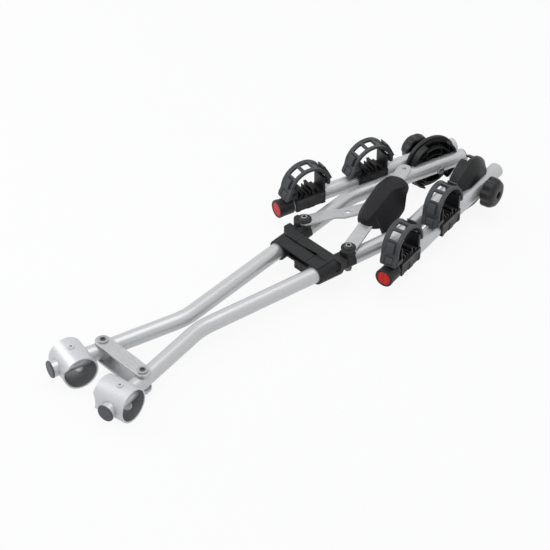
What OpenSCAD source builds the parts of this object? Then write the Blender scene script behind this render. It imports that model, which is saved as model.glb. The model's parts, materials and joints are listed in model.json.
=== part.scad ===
// Hitch bike carrier that grips a tow ball, drawn folded flat as it is stored.
// Two bent frame tubes turn on a pair of link plates. A lever and a link push
// their upper ends apart, which brings two short steel cups together over the
// tow ball. Two arms with rubber cradles fold up at the top and are held by knobs.
// The origin is the centre of the gripped ball, +Y runs up the frame and +Z is
// the side that the arms swing to. Every module draws the right side; the left
// side is its mirror image unless a comment says otherwise.

/* [Frame tubes] */
// Outer diameter of the frame and arm tubes
tube_od = 26.9; // [24:0.1:30]
// Wall of the frame and arm tubes
tube_wall = 2; // [1.5:0.25:3]
// Angle that each frame turns through to close on the ball
clamp_deg = 12; // [10:0.5:14]
// Distance from the tow ball centre up to the link plate bolts
plate_y = 53.5; // [46:0.5:60]
// Half spacing of the link plate bolts
plate_x = 47.3; // [44:0.1:52]
// Height of the lower bend above the ball centre
lower_bend_y = 194; // [170:1:220]
// Height of the upper bend above the ball centre
upper_bend_y = 606; // [580:1:640]
// Turn of each bend in the frame tube, which also sets how the middle leans
bend_deg = 18.6781; // [18:0.0001:19.4]
// Bend radius of the tube centre line
bend_r = 110; // [80:5:140]
// Tube length past the upper bend
top_len = 233.5; // [220:0.5:260]

/* [Ball cups] */
// Outer diameter of a cup
cup_od = 57; // [56:0.5:62]
// Wall of a cup
cup_wall = 3; // [2:0.25:4]
// Length of a cup
cup_len = 57; // [50:1:64]
// Offset of the cup middle inward from the tube that crosses it
cup_inset = 4.3; // [2:0.1:6]
// Radius of the notch that clears the neck of the ball
neck_r = 21; // [18:0.5:23]
// Length of tube left showing in front of a cup
foot_out = 7; // [4:0.5:12]
// Thickness of the plug flange that closes the tube foot
plug_t = 3; // [2:0.5:5]

/* [Link plates] */
// Width of a link plate
plate_w = 25; // [22:1:30]
// Thickness of a link plate
plate_t = 4.5; // [3:0.5:6]
// Diameter of the pivot bolts
pivot_d = 10; // [8:1:12]
// Outer diameter of the bush welded through the tube
bush_d = 19; // [16:1:22]

/* [Toggle] */
// Half spacing of the two ear bolts
ear_x = 51.9; // [50:0.1:54]
// Height of the ear bolts above the ball centre
ear_y = 484; // [480:1:490]
// Diameter of the ear bolts
ear_d = 8; // [6:1:10]
// Width of the lever and link bars
bar_w = 24; // [20:1:26]
// Thickness of the lever and link bars
bar_t = 4.2; // [3.5:0.1:5]
// How far the toggle passes its straight line when closed
over_centre_deg = 2; // [1:0.5:4]
// Distance from the ear bolt to the hole at the lever's tip
lever_len = 237; // [225:1:245]
// Diameter of the hole at the lever's tip
tip_hole_d = 6.6; // [5:0.2:9]
// Distance from the ear bolt to the spare hole in the link
link_hole_at = 79; // [74:1:84]

/* [Grip] */
// Length of the grip
grip_len = 143; // [130:1:150]
// Width of the grip
grip_w = 59; // [52:1:62]
// Distance from the ear bolt to the near end of the grip
grip_start = 62; // [58:1:70]
// Height of the grip's crown above the tube plane
grip_top = 41; // [38:0.5:46]
// Lowest point of the grip's deep side wall
grip_low = -4; // [-8:0.5:0]
// Wall of the grip shell
grip_wall = 3; // [2.5:0.5:4]

/* [Brackets] */
// Front face of the brackets, above the ball centre
bracket_y = 415; // [405:1:425]
// Length of the brackets along the tubes
bracket_len = 45; // [40:1:50]
// Wall of the bracket cuffs
cuff_t = 4; // [3:0.5:5]
// Distance that the bracket tongues lap past the middle
lap = 24; // [15:1:28]
// Width of the seam between the two bracket tongues
seam = 1.2; // [1:0.1:2]

/* [Hinges] */
// Distance from the tube's top end back to the arm pivot
hinge_back = 57.5; // [55:0.5:65]
// Radius of the ribbed hinge dish
dish_r = 47; // [42:1:50]
// Depth of the hinge dish
dish_t = 18.7; // [17.4:0.1:20]
// Wall of the dish rim, and thickness of its outer face
dish_wall = 3.4; // [3:0.1:3.6]
// Thickness of the ribs in the dish
rib_t = 1.8; // [1.4:0.2:2.6]
// Overhang of the arm's hood past the dish rim
hood_over = 3.2; // [2:0.1:5]
// Radius of the hood where it ends on the arm tube
seat_r = 30; // [27:1:34]
// Spacing of the arm and frame tube centre lines
arm_gap = 35; // [34.6:0.1:38]
// Diameter of the hinge bolt
hinge_d = 8; // [6:1:10]
// Radius of a knob
knob_r = 26.5; // [22:0.5:30]
// Depth of a knob
knob_t = 27; // [22:1:32]

/* [Arms] */
// Arm length from the pivot to its free end
arm_front = 302; // [290:1:315]
// Arm length behind the pivot
arm_rear = 62; // [55:1:70]
// Length of the end cap
cap_len = 28; // [24:1:32]
// Wall of the end cap
cap_wall = 1.9; // [1.5:0.1:2.5]
// Diameter of the round reflector
reflector_d = 24; // [20:1:26]
// Distance from the free end to the first cradle
cradle_at = 31; // [30:0.5:34]
// Distance between the two cradles of one arm
cradle_pitch = 127; // [120:1:135]

/* [Cradles] */
// Length of a cradle along the arm
cradle_len = 57.5; // [54:0.5:62]
// Width of a cradle across the arm
cradle_w = 32; // [30:1:36]
// Height of the cradle's front wall above the tube centre
cradle_h = 46; // [40:1:50]
// Inside radius of the strap's arch
strap_in_r = 36; // [34:0.5:38]
// Thickness of the strap
strap_t = 3.8; // [3:0.2:5]
// Width of the strap
strap_w = 28.8; // [24:0.4:32]
// Height of the strap pin above the tube centre
pin_z = 24; // [22:0.5:26]
// Diameter of the strap pin
pin_d = 4; // [3:0.5:5]

/* [Hidden] */

$fn = 48;
// Named clearances
run_gap = 0.05; // radial, a pin in its bore
face_gap = 0.3; // between faces that move past each other
weld_gap = 0.05; // around a tube in the piece welded or clamped to it
eps = 1; // overshoot of a cut past the face that it opens

tube_r = tube_od / 2;
tube_in_r = tube_r - tube_wall;
cup_r = cup_od / 2;
cup_in_r = cup_r - cup_wall;
pivot_r = pivot_d / 2;
ear_r = ear_d / 2;
hinge_r = hinge_d / 2;

// Frame tube corners, in the tube plane
lower_bend = [plate_x - (lower_bend_y - plate_y) * tan(clamp_deg), lower_bend_y];
mid_tilt = bend_deg - clamp_deg;
mid_run = (upper_bend_y - lower_bend_y) * [tan(mid_tilt), 1];
upper_bend = lower_bend + mid_run;
down = [sin(clamp_deg), -cos(clamp_deg)];
up = [-sin(clamp_deg), cos(clamp_deg)];
plate_pivot = [plate_x, plate_y];
cup_cross = plate_pivot + plate_y * down;
tube_foot = cup_cross + (cup_r + foot_out) * down;
tube_top = upper_bend + top_len * up;
hinge = upper_bend + (top_len - hinge_back) * up;

// Straights left between and beyond the bends
bend_cut = bend_r * tan(bend_deg / 2);
mid_len = norm(mid_run) - 2 * bend_cut;
mid_start = lower_bend + bend_cut / norm(mid_run) * mid_run;
top_straight = top_len - bend_cut;
foot_straight = norm(tube_foot - lower_bend) - bend_cut;

// Levels of the toggle, from the tube plane upwards
bush_half = tube_r + 0.15;
plate_z = bush_half + face_gap;
cuff_r = tube_r + cuff_t;
bracket_top = cuff_r + 0.6;
link_z = bracket_top - bar_t;
lever_z = bracket_top + face_gap;
ear_plate_t = 3;
ear_top = lever_z + bar_t + face_gap + ear_plate_t;
ear_plate_r = bar_w / 2 + 0.5;

// The toggle: with the frames swung out the ears stand ear_open from the middle,
// and each bar is as long as makes the pair pass straight by over_centre_deg.
ear_arm = [ear_x - plate_x, ear_y - plate_y];
ear_open = plate_x + ear_arm[0] * cos(clamp_deg) + ear_arm[1] * sin(clamp_deg);
bar_len = ear_open / cos(over_centre_deg);
rest_deg = acos(ear_x / bar_len);
toggle_y = ear_y + bar_len * sin(rest_deg);

// Bracket faces along the tubes
bracket_end = bracket_y + bracket_len;
seam_y = bracket_y + bracket_len / 2;

// Stations along an arm, measured from the pivot towards the frame's top
cradle_x = [-arm_front + cradle_at, -arm_front + cradle_at + cradle_pitch];
strap_r = strap_in_r + strap_t / 2;
arch = [cradle_len / 2 - 2, pin_z + 7];
strap_pin = [arch[0] - strap_r - 2, pin_z];
knob_back = arm_gap + tube_r + face_gap;

// The dish is a collar round the frame tube and a narrower stage inside the arm's hood
collar_t = tube_r - 0.15;
stage_r = dish_r - 2.9;
skirt_t = tube_r + face_gap + 0.05;
rib_y = [-34, -17, 13, 30];

// Draws its children on the right for 1 and mirrored to the left for -1.
module on_side(side) {
    if (side < 0) mirror([1, 0, 0]) children();
    else children();
}

// A straight round bar between two points of the tube plane.
module rod(a, b, r) {
    translate([a[0], a[1], 0])
        rotate([0, 0, atan2(b[1] - a[1], b[0] - a[0])])
            rotate([0, 90, 0])
                cylinder(r = r, h = norm(b - a));
}

// A round bend of the frame tube that starts at the origin along +Y and turns
// towards -X, followed by a straight of the given length.
module bend(r, len) {
    translate([-bend_r, 0, 0]) {
        rotate_extrude(angle = bend_deg)
            translate([bend_r, 0])
                circle(r = r);
        rotate([0, 0, bend_deg])
            translate([bend_r, 0, 0])
                rotate([-90, 0, 0])
                    cylinder(r = r, h = len);
    }
}

// The frame tube swept at radius r, and past both ends by over. It is laid out
// from the straight between the bends, which the brackets grip.
module frame_path(r, over = 0) {
    mid_frame() {
        rotate([-90, 0, 0]) cylinder(r = r, h = mid_len);
        translate([0, mid_len, 0]) bend(r, top_straight + over);
        rotate([0, 0, 180]) bend(r, foot_straight + over);
    }
}

// Local frame of the middle straight: its lower end at the origin, +Y up it.
module mid_frame() {
    translate([mid_start[0], mid_start[1], 0])
        rotate([0, 0, -mid_tilt])
            children();
}

// Local frame of a cup: +Z along the cup outward, +Y up the lower tube.
module cup_frame() {
    translate([cup_cross[0], cup_cross[1], 0])
        rotate([0, 0, clamp_deg])
            rotate([0, 90, 0])
                children();
}

// Local frame of a hinge: +Z along the bolt outward, +Y up the tube, -X is the world's +Z.
module hinge_frame() {
    translate([hinge[0], hinge[1], 0])
        rotate([0, 0, clamp_deg])
            rotate([0, 90, 0])
                children();
}

// Local frame of an arm: +X along it from the pivot to the frame's top, +Z up.
module arm_frame() {
    translate([hinge[0], hinge[1], 0])
        rotate([0, 0, clamp_deg])
            translate([arm_gap, 0, 0])
                rotate([0, 0, 90])
                    children();
}

// Outline of a flat bar with round ends, from x = 0 to x = len.
module bar_outline(len, w) {
    circle(d = w);
    translate([len, 0]) circle(d = w);
    translate([0, -w / 2]) square([len, w]);
}

// A hexagon head or nut across-corners 2 r, with its seat at z = 0.
module hex(r, h) {
    cylinder(r = r, h = h, $fn = 6);
}

module link_plate(z) {
    color("silver")
        difference() {
            translate([-plate_x, plate_y, z])
                linear_extrude(plate_t)
                    bar_outline(2 * plate_x, plate_w);
            for (s = [-1, 1])
                translate([s * plate_x, plate_y, z - eps])
                    cylinder(r = pivot_r + run_gap, h = plate_t + 2 * eps);
        }
}

module pivot_bolt(side) {
    head_t = 2.6;
    head_r = 8.5;
    nut_t = 6;
    on_side(side)
        translate([plate_x, plate_y, 0])
            color("dimgray") {
                difference() {
                    union() {
                        translate([0, 0, plate_z + plate_t]) cylinder(r = head_r, h = head_t);
                        translate([0, 0, -plate_z - plate_t - nut_t])
                            cylinder(r = pivot_r, h = 2 * (plate_z + plate_t) + nut_t + head_t);
                    }
                    translate([0, 0, plate_z + plate_t - 2]) hex(4.6, head_t + 2 + eps);
                }
                translate([0, 0, -plate_z - plate_t - nut_t])
                    difference() {
                        hex(8.6, nut_t);
                        translate([0, 0, -eps]) cylinder(r = pivot_r, h = nut_t + 2 * eps);
                    }
            }
}

module frame_tube(side) {
    on_side(side)
        color("lightgray")
            difference() {
                union() {
                    difference() {
                        frame_path(tube_r);
                        frame_path(tube_in_r, eps);
                    }
                    translate([plate_x, plate_y, -bush_half])
                        cylinder(d = bush_d, h = 2 * bush_half);
                }
                translate([plate_x, plate_y, -tube_od])
                    cylinder(r = pivot_r + run_gap, h = 2 * tube_od);
                translate([ear_x, ear_y, -tube_od])
                    cylinder(r = ear_r + run_gap, h = 2 * tube_od);
                hinge_frame()
                    translate([0, 0, -tube_od])
                        cylinder(r = hinge_r + run_gap, h = 2 * tube_od);
                cup_frame()
                    rotate([0, -90, 0])
                        cylinder(r = screw_r + run_gap, h = tube_od);
            }
}

screw_r = 3;
screw_head_r = 5.4;

module ball_cup(side) {
    inner_end = -cup_inset - cup_len / 2;
    ball_at = inner_end - (plate_x - cup_inset - cup_len / 2);
    on_side(side)
        cup_frame()
            color("gainsboro")
                difference() {
                    translate([0, 0, -cup_inset]) {
                        difference() {
                            cylinder(r = cup_r, h = cup_len, center = true, $fn = 96);
                            cylinder(r = cup_in_r, h = cup_len + 2 * eps, center = true, $fn = 96);
                        }
                    }
                    translate([0, 0, ball_at])
                        rotate([90, 0, 0])
                            cylinder(r = neck_r, h = cup_od);
                    rotate([90, 0, 0])
                        cylinder(r = tube_r + weld_gap, h = cup_od + 2 * eps, center = true);
                    rotate([0, -90, 0])
                        cylinder(r = screw_r + run_gap, h = cup_r + eps);
                }
}

module foot_plug(side) {
    spigot = 12;
    on_side(side)
        translate([tube_foot[0], tube_foot[1], 0])
            rotate([0, 0, clamp_deg])
                rotate([90, 0, 0])
                    color("slategray") {
                        cylinder(r1 = tube_r + 1, r2 = tube_r, h = plug_t);
                        translate([0, 0, -spigot])
                            cylinder(r = tube_in_r - weld_gap, h = spigot);
                    }
}

module cup_screw(side) {
    head_t = 2.2;
    on_side(side)
        cup_frame()
            rotate([0, -90, 0])
                color("lightsteelblue")
                    difference() {
                        union() {
                            translate([0, 0, tube_in_r - 2]) cylinder(r = screw_r, h = cup_r - tube_in_r + 2);
                            translate([0, 0, cup_r]) cylinder(r1 = screw_head_r, r2 = screw_head_r - 1.2, h = head_t);
                        }
                        translate([0, 0, cup_r - 1]) hex(2.4, head_t + 1 + eps);
                    }
}

// The stretch of frame tube that a bracket grips, swept at radius r.
module cuff_rod(r) {
    rod(lower_bend, upper_bend, r);
}

// A slab across the brackets, between two heights up the frame.
module slab(x0, x1, y0, y1, z0, z1) {
    translate([x0, y0, z0]) cube([x1 - x0, y1 - y0, z1 - z0]);
}

split_z = -3;

// Upper half of a bracket: the cuff over the tube, a tongue that laps the other
// bracket's tongue, and the fork that holds the toggle. The front tongue of the
// left bracket passes the middle, and the rear tongue of the right one.
module bracket(side) {
    far = 90;
    front_reach = side > 0 ? lap : -lap;
    rear_reach = -front_reach;
    plate_low = tube_r + 0.45;
    on_side(side)
        color("#2b2b2d")
            difference() {
                union() {
                    intersection() {
                        cuff_rod(cuff_r);
                        slab(0, far, bracket_y, bracket_end, split_z, far);
                    }
                    difference() {
                        union() {
                            slab(front_reach + face_gap / 2, ear_x, bracket_y, seam_y - seam / 2,
                                plate_low, bracket_top);
                            slab(rear_reach + face_gap / 2, ear_x, seam_y + seam / 2, bracket_end,
                                plate_low, bracket_top);
                            slab(lap + face_gap / 2, ear_x, bracket_y, bracket_end, plate_low, bracket_top);
                        }
                        translate([0, seam_y, bracket_top])
                            rotate([0, 90, 0])
                                cylinder(r = seam / 2, h = far, $fn = 16);
                    }
                    ear_tower();
                }
                cuff_rod(tube_r + weld_gap);
                translate([ear_x, ear_y, 0])
                    cylinder(r = ear_r + run_gap, h = far);
                translate([ear_x, ear_y, lever_z - face_gap])
                    fork_mouth();
                bracket_screw_holes();
            }
}

// The ear: a lower and an upper plate joined by a web on the outer front side.
module ear_tower() {
    base_z = tube_r - 2;
    translate([ear_x, ear_y, base_z])
        cylinder(r = ear_plate_r, h = ear_top - base_z);
    // Web from the cuff up to the fork, leaning out over the tube
    intersection() {
        translate([ear_x, 0, 0])
            slab(-3, ear_plate_r + 3, bracket_end - 8, ear_y, 0, ear_top);
        union() {
            translate([ear_x, ear_y, 0]) cylinder(r = ear_plate_r + 5, h = ear_top);
            slab(0, ear_x + ear_plate_r + 3, bracket_end - 8, bracket_end + 6, 0, bracket_top);
        }
    }
    // Foot of the web, wrapped on the tube
    intersection() {
        cuff_rod(cuff_r - 0.5);
        slab(0, ear_x + cuff_r, bracket_end - 1, ear_y + 4, -2, ear_top);
    }
}

// The open mouth of the fork, swept by the bar from stored to closed.
module fork_mouth() {
    mouth_h = bar_t + 2 * face_gap;
    reach = 44;
    half = bar_w / 2 + face_gap;
    first = 180 - rest_deg;
    last = first + rest_deg + over_centre_deg + clamp_deg;
    mid = (first + last) / 2;
    near_edge = half * [sin(first), -cos(first)];
    far_edge = half * [-sin(last), cos(last)];
    cylinder(r = ear_plate_r + face_gap, h = mouth_h);
    linear_extrude(mouth_h)
        polygon([
            near_edge, near_edge + reach * [cos(first), sin(first)],
            1.6 * reach * [cos(mid), sin(mid)],
            far_edge + reach * [cos(last), sin(last)], far_edge
        ]);
}

screw_at_y = bracket_y + 33;

// Cross screws that close the two bracket halves on the tube.
module bracket_screw_holes() {
    translate([ear_x + 4.6, screw_at_y, 3])
        rotate([0, 90, 0])
            cylinder(r = 2.2, h = 20);
}

base_deep = -27;

// Lower half of a bracket, with the box that hangs between the tubes.
module bracket_base(side) {
    box_x = 17;
    far = 90;
    box_front = bracket_y + 13;
    ledge_z = -9;
    on_side(side)
        color("#1f1f21")
            difference() {
                union() {
                    intersection() {
                        cuff_rod(cuff_r);
                        slab(0, far, bracket_y, bracket_end, -far, split_z - face_gap);
                    }
                    slab(face_gap / 2, ear_x - 8, box_front, bracket_end - 2, ledge_z - 5, ledge_z);
                    slab(face_gap / 2, box_x, box_front, bracket_end - 4, base_deep, ledge_z);
                }
                cuff_rod(tube_r + weld_gap);
                slab(3, box_x - 2.6, box_front + 3, bracket_end - 6.6, base_deep - eps, ledge_z - 3);
                translate([8, box_front, -20])
                    rotate([-90, 0, 0])
                        cylinder(r = 2, h = 8, center = true, $fn = 24);
                bracket_bolt_clear();
            }
}

module bracket_bolt_clear() {
    translate([ear_x, ear_y, -60])
        cylinder(r = 9, h = 50);
}

module ear_bolt(side) {
    head_t = 3;
    nut_t = 6.5;
    washer_t = 1;
    on_side(side)
        translate([ear_x, ear_y, 0])
            color("gray") {
                difference() {
                    union() {
                        translate([0, 0, ear_top]) cylinder(r = 7.6, h = washer_t);
                        translate([0, 0, ear_top + washer_t]) cylinder(r = 6.4, h = head_t);
                        translate([0, 0, -tube_r - nut_t - 2])
                            cylinder(r = ear_r, h = tube_r + nut_t + 2 + ear_top);
                    }
                    translate([0, 0, ear_top + washer_t]) hex(3.4, head_t + eps);
                }
                translate([0, 0, -tube_r - nut_t - weld_gap])
                    difference() {
                        hex(7.3, nut_t);
                        translate([0, 0, -eps]) cylinder(r = ear_r, h = nut_t + 2 * eps);
                    }
            }
}

// Ribbed dish between the frame tube and the arm's hood. Its collar is open between two
// of the ribs at the top and at the bottom, wider on the left where the lever folds past.
module hinge_dish(side) {
    chamfer = 1.5;
    floor_z = dish_t - dish_wall;
    step_z = collar_t - 1.8;
    hub_r = 10;
    rib_low = 2.5;
    open_y = side < 0 ? [rib_y[1], rib_y[3]] : [0, rib_y[2]];
    on_side(side)
        hinge_frame()
            color("#242426")
                difference() {
                    union() {
                        difference() {
                            rotate_extrude($fn = 96)
                                polygon([
                                    [0, 0], [dish_r, 0], [dish_r, collar_t], [stage_r, collar_t],
                                    [stage_r, dish_t - chamfer], [stage_r - chamfer, dish_t], [0, dish_t]
                                ]);
                            translate([0, 0, -eps])
                                cylinder(r = dish_r - dish_wall, h = step_z + eps, $fn = 96);
                            cylinder(r = stage_r - dish_wall + 0.6, h = floor_z, $fn = 96);
                        }
                        cylinder(r = hub_r, h = dish_t);
                        intersection() {
                            translate([0, 0, rib_low])
                                cylinder(r = stage_r - dish_wall / 2, h = dish_t - rib_low - 1);
                            dish_ribs(dish_t - 1);
                        }
                    }
                    rotate([90, 0, 0])
                        cylinder(r = tube_r + weld_gap, h = 3 * dish_r, center = true);
                    for (s = [-1, 1])
                        translate([s * dish_r, (open_y[0] + open_y[1]) / 2, 0])
                            cube([24, open_y[1] - open_y[0] + rib_t, 2 * step_z], center = true);
                    translate([0, 0, -eps])
                        cylinder(r = hinge_r + run_gap, h = dish_t + 2 * eps);
                }
}

// Straight ribs and two rings that stiffen the dish.
module dish_ribs(h) {
    for (y = rib_y)
        translate([-dish_r, y - rib_t / 2, 0])
            cube([2 * dish_r, rib_t, h]);
    for (r = [22, 35])
        difference() {
            cylinder(r = r, h = h, $fn = 72);
            translate([0, 0, -eps]) cylinder(r = r - rib_t, h = h + 2 * eps, $fn = 72);
        }
}

module hinge_bolt(side) {
    head_t = 4;
    head_r = 7.4;
    shank_end = knob_back + knob_t - 4;
    on_side(side)
        hinge_frame()
            color("gray")
                difference() {
                    union() {
                        translate([0, 0, -tube_r - head_t - weld_gap])
                            hex(head_r, head_t);
                        translate([0, 0, -tube_r - head_t - 1.2])
                            cylinder(r = head_r - 1.4, h = 1.3);
                        translate([0, 0, -tube_r - 1])
                            cylinder(r = hinge_r, h = tube_r + 1 + shank_end);
                    }
                    translate([0, 0, -tube_r - head_t - 2]) cylinder(r = 2, h = 2);
                }
}

// Plug that closes a tube end: a thin flange and a spigot, along +X from x = 0.
module end_plug(flange_t) {
    spigot = 12;
    rotate([0, 90, 0])
        cylinder(r1 = tube_r, r2 = tube_r - 1, h = flange_t);
    translate([-spigot, 0, 0])
        rotate([0, 90, 0])
            cylinder(r = tube_in_r - weld_gap, h = spigot);
}

module frame_plug(side) {
    on_side(side)
        translate([tube_top[0], tube_top[1], 0])
            rotate([0, 0, 90 + clamp_deg])
                color("#3a3c40")
                    end_plug(2);
}

// Link between the left ear and the toggle pin: it steps down by one bar and a gap
// to pass under the lever. It starts at the left ear, so it isn't mirrored.
module link_bar() {
    step_start = 52;
    step_end = 68;
    drop = lever_z - link_z;
    color("silver")
        translate([-ear_x, ear_y, lever_z])
            rotate([0, 0, rest_deg])
                difference() {
                    intersection() {
                        translate([0, 0, -drop]) linear_extrude(drop + bar_t) bar_outline(bar_len, bar_w);
                        rotate([90, 0, 0])
                            linear_extrude(2 * bar_w, center = true)
                                polygon([
                                    [-bar_w, 0], [step_start, 0], [step_end, -drop],
                                    [bar_len + bar_w, -drop], [bar_len + bar_w, bar_t - drop],
                                    [step_end, bar_t - drop], [step_start, bar_t], [-bar_w, bar_t]
                                ]);
                    }
                    for (x = [0, bar_len])
                        translate([x, 0, -drop - eps])
                            cylinder(r = (x > 0 ? toggle_r : ear_r) + run_gap, h = 3 * bar_t);
                    translate([link_hole_at, 0, -drop - eps])
                        cylinder(d = 9, h = 2 * bar_t);
                }
}

toggle_r = 5;
post_at = [grip_start + 26, grip_start + grip_len - 24];
post_r = 4;
// Step in the lever, just past the head of the toggle pin
lift = bar_t + 3 * face_gap;
lift_at = bar_len + 12;
lift_run = 14;
// Stretch of the lever that the link's end passes while the bars are apart
link_way = [bar_len - 66, bar_len + 6];
// Length of the grip's nose, which rides above the link's step
nose_len = 37;
// Sideways drift of the link from the lever at the grip's nose when closed
link_skew = (grip_start + grip_len - bar_len) * tan(2 * over_centre_deg) + face_gap;

// Local frame of the lever: +X from the right ear bolt to the tip.
module lever_frame() {
    translate([ear_x, ear_y, 0])
        rotate([0, 0, 180 - rest_deg])
            children();
}

// Lever: flat from the right ear to past the toggle pin, then up one step so that
// its tip lies over the link when the toggle is closed.
module lever_bar() {
    color("silver")
        lever_frame()
            difference() {
                intersection() {
                    translate([0, 0, lever_z]) linear_extrude(lift + bar_t) bar_outline(lever_len, bar_w);
                    rotate([90, 0, 0])
                        linear_extrude(2 * bar_w, center = true)
                            polygon([
                                [-bar_w, lever_z], [lift_at, lever_z], [lift_at + lift_run, lever_z + lift],
                                [lever_len + bar_w, lever_z + lift], [lever_len + bar_w, lever_z + lift + bar_t],
                                [lift_at + lift_run, lever_z + lift + bar_t], [lift_at, lever_z + bar_t],
                                [-bar_w, lever_z + bar_t]
                            ]);
                }
                translate([0, 0, lever_z - eps]) cylinder(r = ear_r + run_gap, h = bar_t + 2 * eps);
                translate([bar_len, 0, lever_z - eps]) cylinder(r = toggle_r + run_gap, h = bar_t + 2 * eps);
                translate([lever_len, 0, lever_z]) cylinder(d = tip_hole_d, h = lift + bar_t + eps);
                for (x = post_at)
                    translate([x, 0, lever_z - eps]) cylinder(r = post_r + weld_gap, h = lift + bar_t + 2 * eps);
            }
}

pin_head_r = toggle_r + 3.5;
pin_head_t = 3;

// Pin at the lever's elbow. Its shank ends flush under the lever, above the link.
module toggle_pin() {
    color("gray")
        lever_frame()
            translate([bar_len, 0, lever_z]) {
                cylinder(r = toggle_r, h = bar_t);
                translate([0, 0, bar_t]) cylinder(r = pin_head_r, h = pin_head_t);
            }
}

// Rounded outline of the grip, drawn inset by the given wall.
module grip_outline(inset) {
    power = 2 / 2.5;
    a = grip_len / 2 - inset;
    b = grip_w / 2 - inset;
    steps = 56;
    translate([grip_start + grip_len / 2, 2])
        polygon([for (i = [0:steps - 1]) let (t = i * 360 / steps)
            [a * sign(cos(t)) * pow(abs(cos(t)), power), b * sign(sin(t)) * pow(abs(sin(t)), power)]]);
}

// The crowned solid of the grip, inset by a wall on its top and sides.
module grip_body(inset, low) {
    crown_r = 46;
    long_r = 190;
    mid = grip_start + grip_len / 2;
    intersection() {
        translate([0, 0, low]) linear_extrude(grip_top - low) grip_outline(inset);
        translate([grip_start - eps, 2, grip_top - inset - crown_r])
            rotate([0, 90, 0])
                union() {
                    cylinder(r = crown_r, h = grip_len + 2 * eps, $fn = 96);
                    translate([0, -crown_r, 0]) cube([2 * crown_r, 2 * crown_r, grip_len + 2 * eps]);
                }
        translate([mid, grip_w, grip_top - inset - long_r])
            rotate([90, 0, 0])
                cylinder(r = long_r, h = 2 * grip_w, $fn = 180);
    }
}

// Hood over the lever: deep on the side away from the link, open below, and cut
// short on the other side so that the link folds in under it. A slot in the deep
// wall lets the link's end pass when the two bars part at the middle of the swing.
module grip() {
    bar_clear = bar_w / 2 + face_gap;
    bar_top = lever_z + bar_t;
    far = grip_len + 20;
    near = grip_start - 10;
    color("#202022")
        lever_frame()
            difference() {
                union() {
                    difference() {
                        mirror([0, 1, 0]) grip_body(0, grip_low);
                        mirror([0, 1, 0]) grip_body(grip_wall, grip_low - eps);
                    }
                    intersection() {
                        mirror([0, 1, 0]) grip_body(0, grip_low);
                        union() {
                            for (x = post_at)
                                translate([x, 0, grip_post_z(x)]) {
                                    cylinder(r = post_r, h = grip_top);
                                    translate([0, 0, bar_t - face_gap]) cylinder(r = post_r + 2.4, h = grip_top);
                                }
                            for (s = [-1, 1])
                                translate([grip_start, s * 8 - 1, bar_top]) cube([grip_len, 2, grip_top]);
                        }
                    }
                }
                // Way for the bar, right through both ends
                difference() {
                    rotate([90, 0, 0])
                        linear_extrude(2 * bar_clear, center = true)
                            polygon([
                                [near, grip_low - eps], [near + far, grip_low - eps],
                                [near + far, bar_top + lift], [lift_at, bar_top + lift],
                                [lift_at, bar_top], [near, bar_top]
                            ]);
                    for (x = post_at)
                        translate([x, 0, grip_post_z(x)]) cylinder(r = post_r, h = grip_top);
                }
                translate([bar_len, 0, bar_top - eps])
                    cylinder(r = pin_head_r + face_gap, h = pin_head_t + face_gap + eps);
                translate([link_way[0], -grip_w, link_z - face_gap])
                    cube([link_way[1] - link_way[0], grip_w, bar_t + 2 * face_gap]);
                // Room at the nose for the link, which lies a little askew when closed
                translate([bar_len, -bar_clear - link_skew, grip_low - eps])
                    cube([far, bar_clear + link_skew, lever_z - grip_low + eps]);
                // Nose, lifted with the bar over the step in the link
                translate([grip_start + grip_len - nose_len, -grip_w, grip_low - eps])
                    cube([far, 2 * grip_w, lever_z + lift - grip_low + eps]);
                // Short side, over the link
                translate([near, 0, grip_low - eps])
                    cube([far, grip_w, lever_z - grip_low + eps]);
                // Deep side, rising to the nose so that it clears the frame tube
                translate([near, -grip_w, grip_low - 30])
                    rotate([0, 18, 0])
                        translate([-20, 0, 0])
                            cube([40, grip_w, 48]);
                translate([near, -grip_w, grip_low - eps])
                    cube([16, grip_w, 14]);
            }
}

// Foot of a grip post, just inside the bar's underside at that point.
function grip_post_z(x) = lever_z + face_gap + (x > lift_at ? lift : 0);

module arm_tube(side) {
    on_side(side)
        color("lightgray")
            difference() {
                arm_frame()
                    translate([-arm_front + 2, 0, 0])
                        rotate([0, 90, 0])
                            difference() {
                                cylinder(r = tube_r, h = arm_front + arm_rear - 2);
                                translate([0, 0, -eps])
                                    cylinder(r = tube_in_r, h = arm_front + arm_rear + 2 * eps);
                            }
                hinge_frame()
                    cylinder(r = hinge_r + run_gap, h = 2 * arm_gap);
            }
}

// Hood that carries the arm tube. Its skirt runs round the dish's stage, and its crown
// tapers to the tube, which it clasps up to the tube's middle.
module arm_seat(side) {
    hood_r = dish_r + hood_over;
    inside = stage_r + face_gap;
    roof_z = dish_t + face_gap;
    on_side(side)
        hinge_frame()
            color("#161618")
                difference() {
                    rotate_extrude($fn = 96)
                        polygon([
                            [0, roof_z], [inside, roof_z], [inside, skirt_t], [hood_r - 0.5, skirt_t],
                            [hood_r, skirt_t + 1], [hood_r, roof_z], [hood_r - 0.8, roof_z + 2.4],
                            [seat_r + 6.6, arm_gap - 3.4], [seat_r, arm_gap + 0.4], [0, arm_gap + 0.4]
                        ]);
                    translate([0, 0, arm_gap])
                        rotate([90, 0, 0])
                            cylinder(r = tube_r + weld_gap, h = 3 * dish_r, center = true);
                    cylinder(r = hinge_r + run_gap, h = 2 * dish_t);
                }
}

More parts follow.
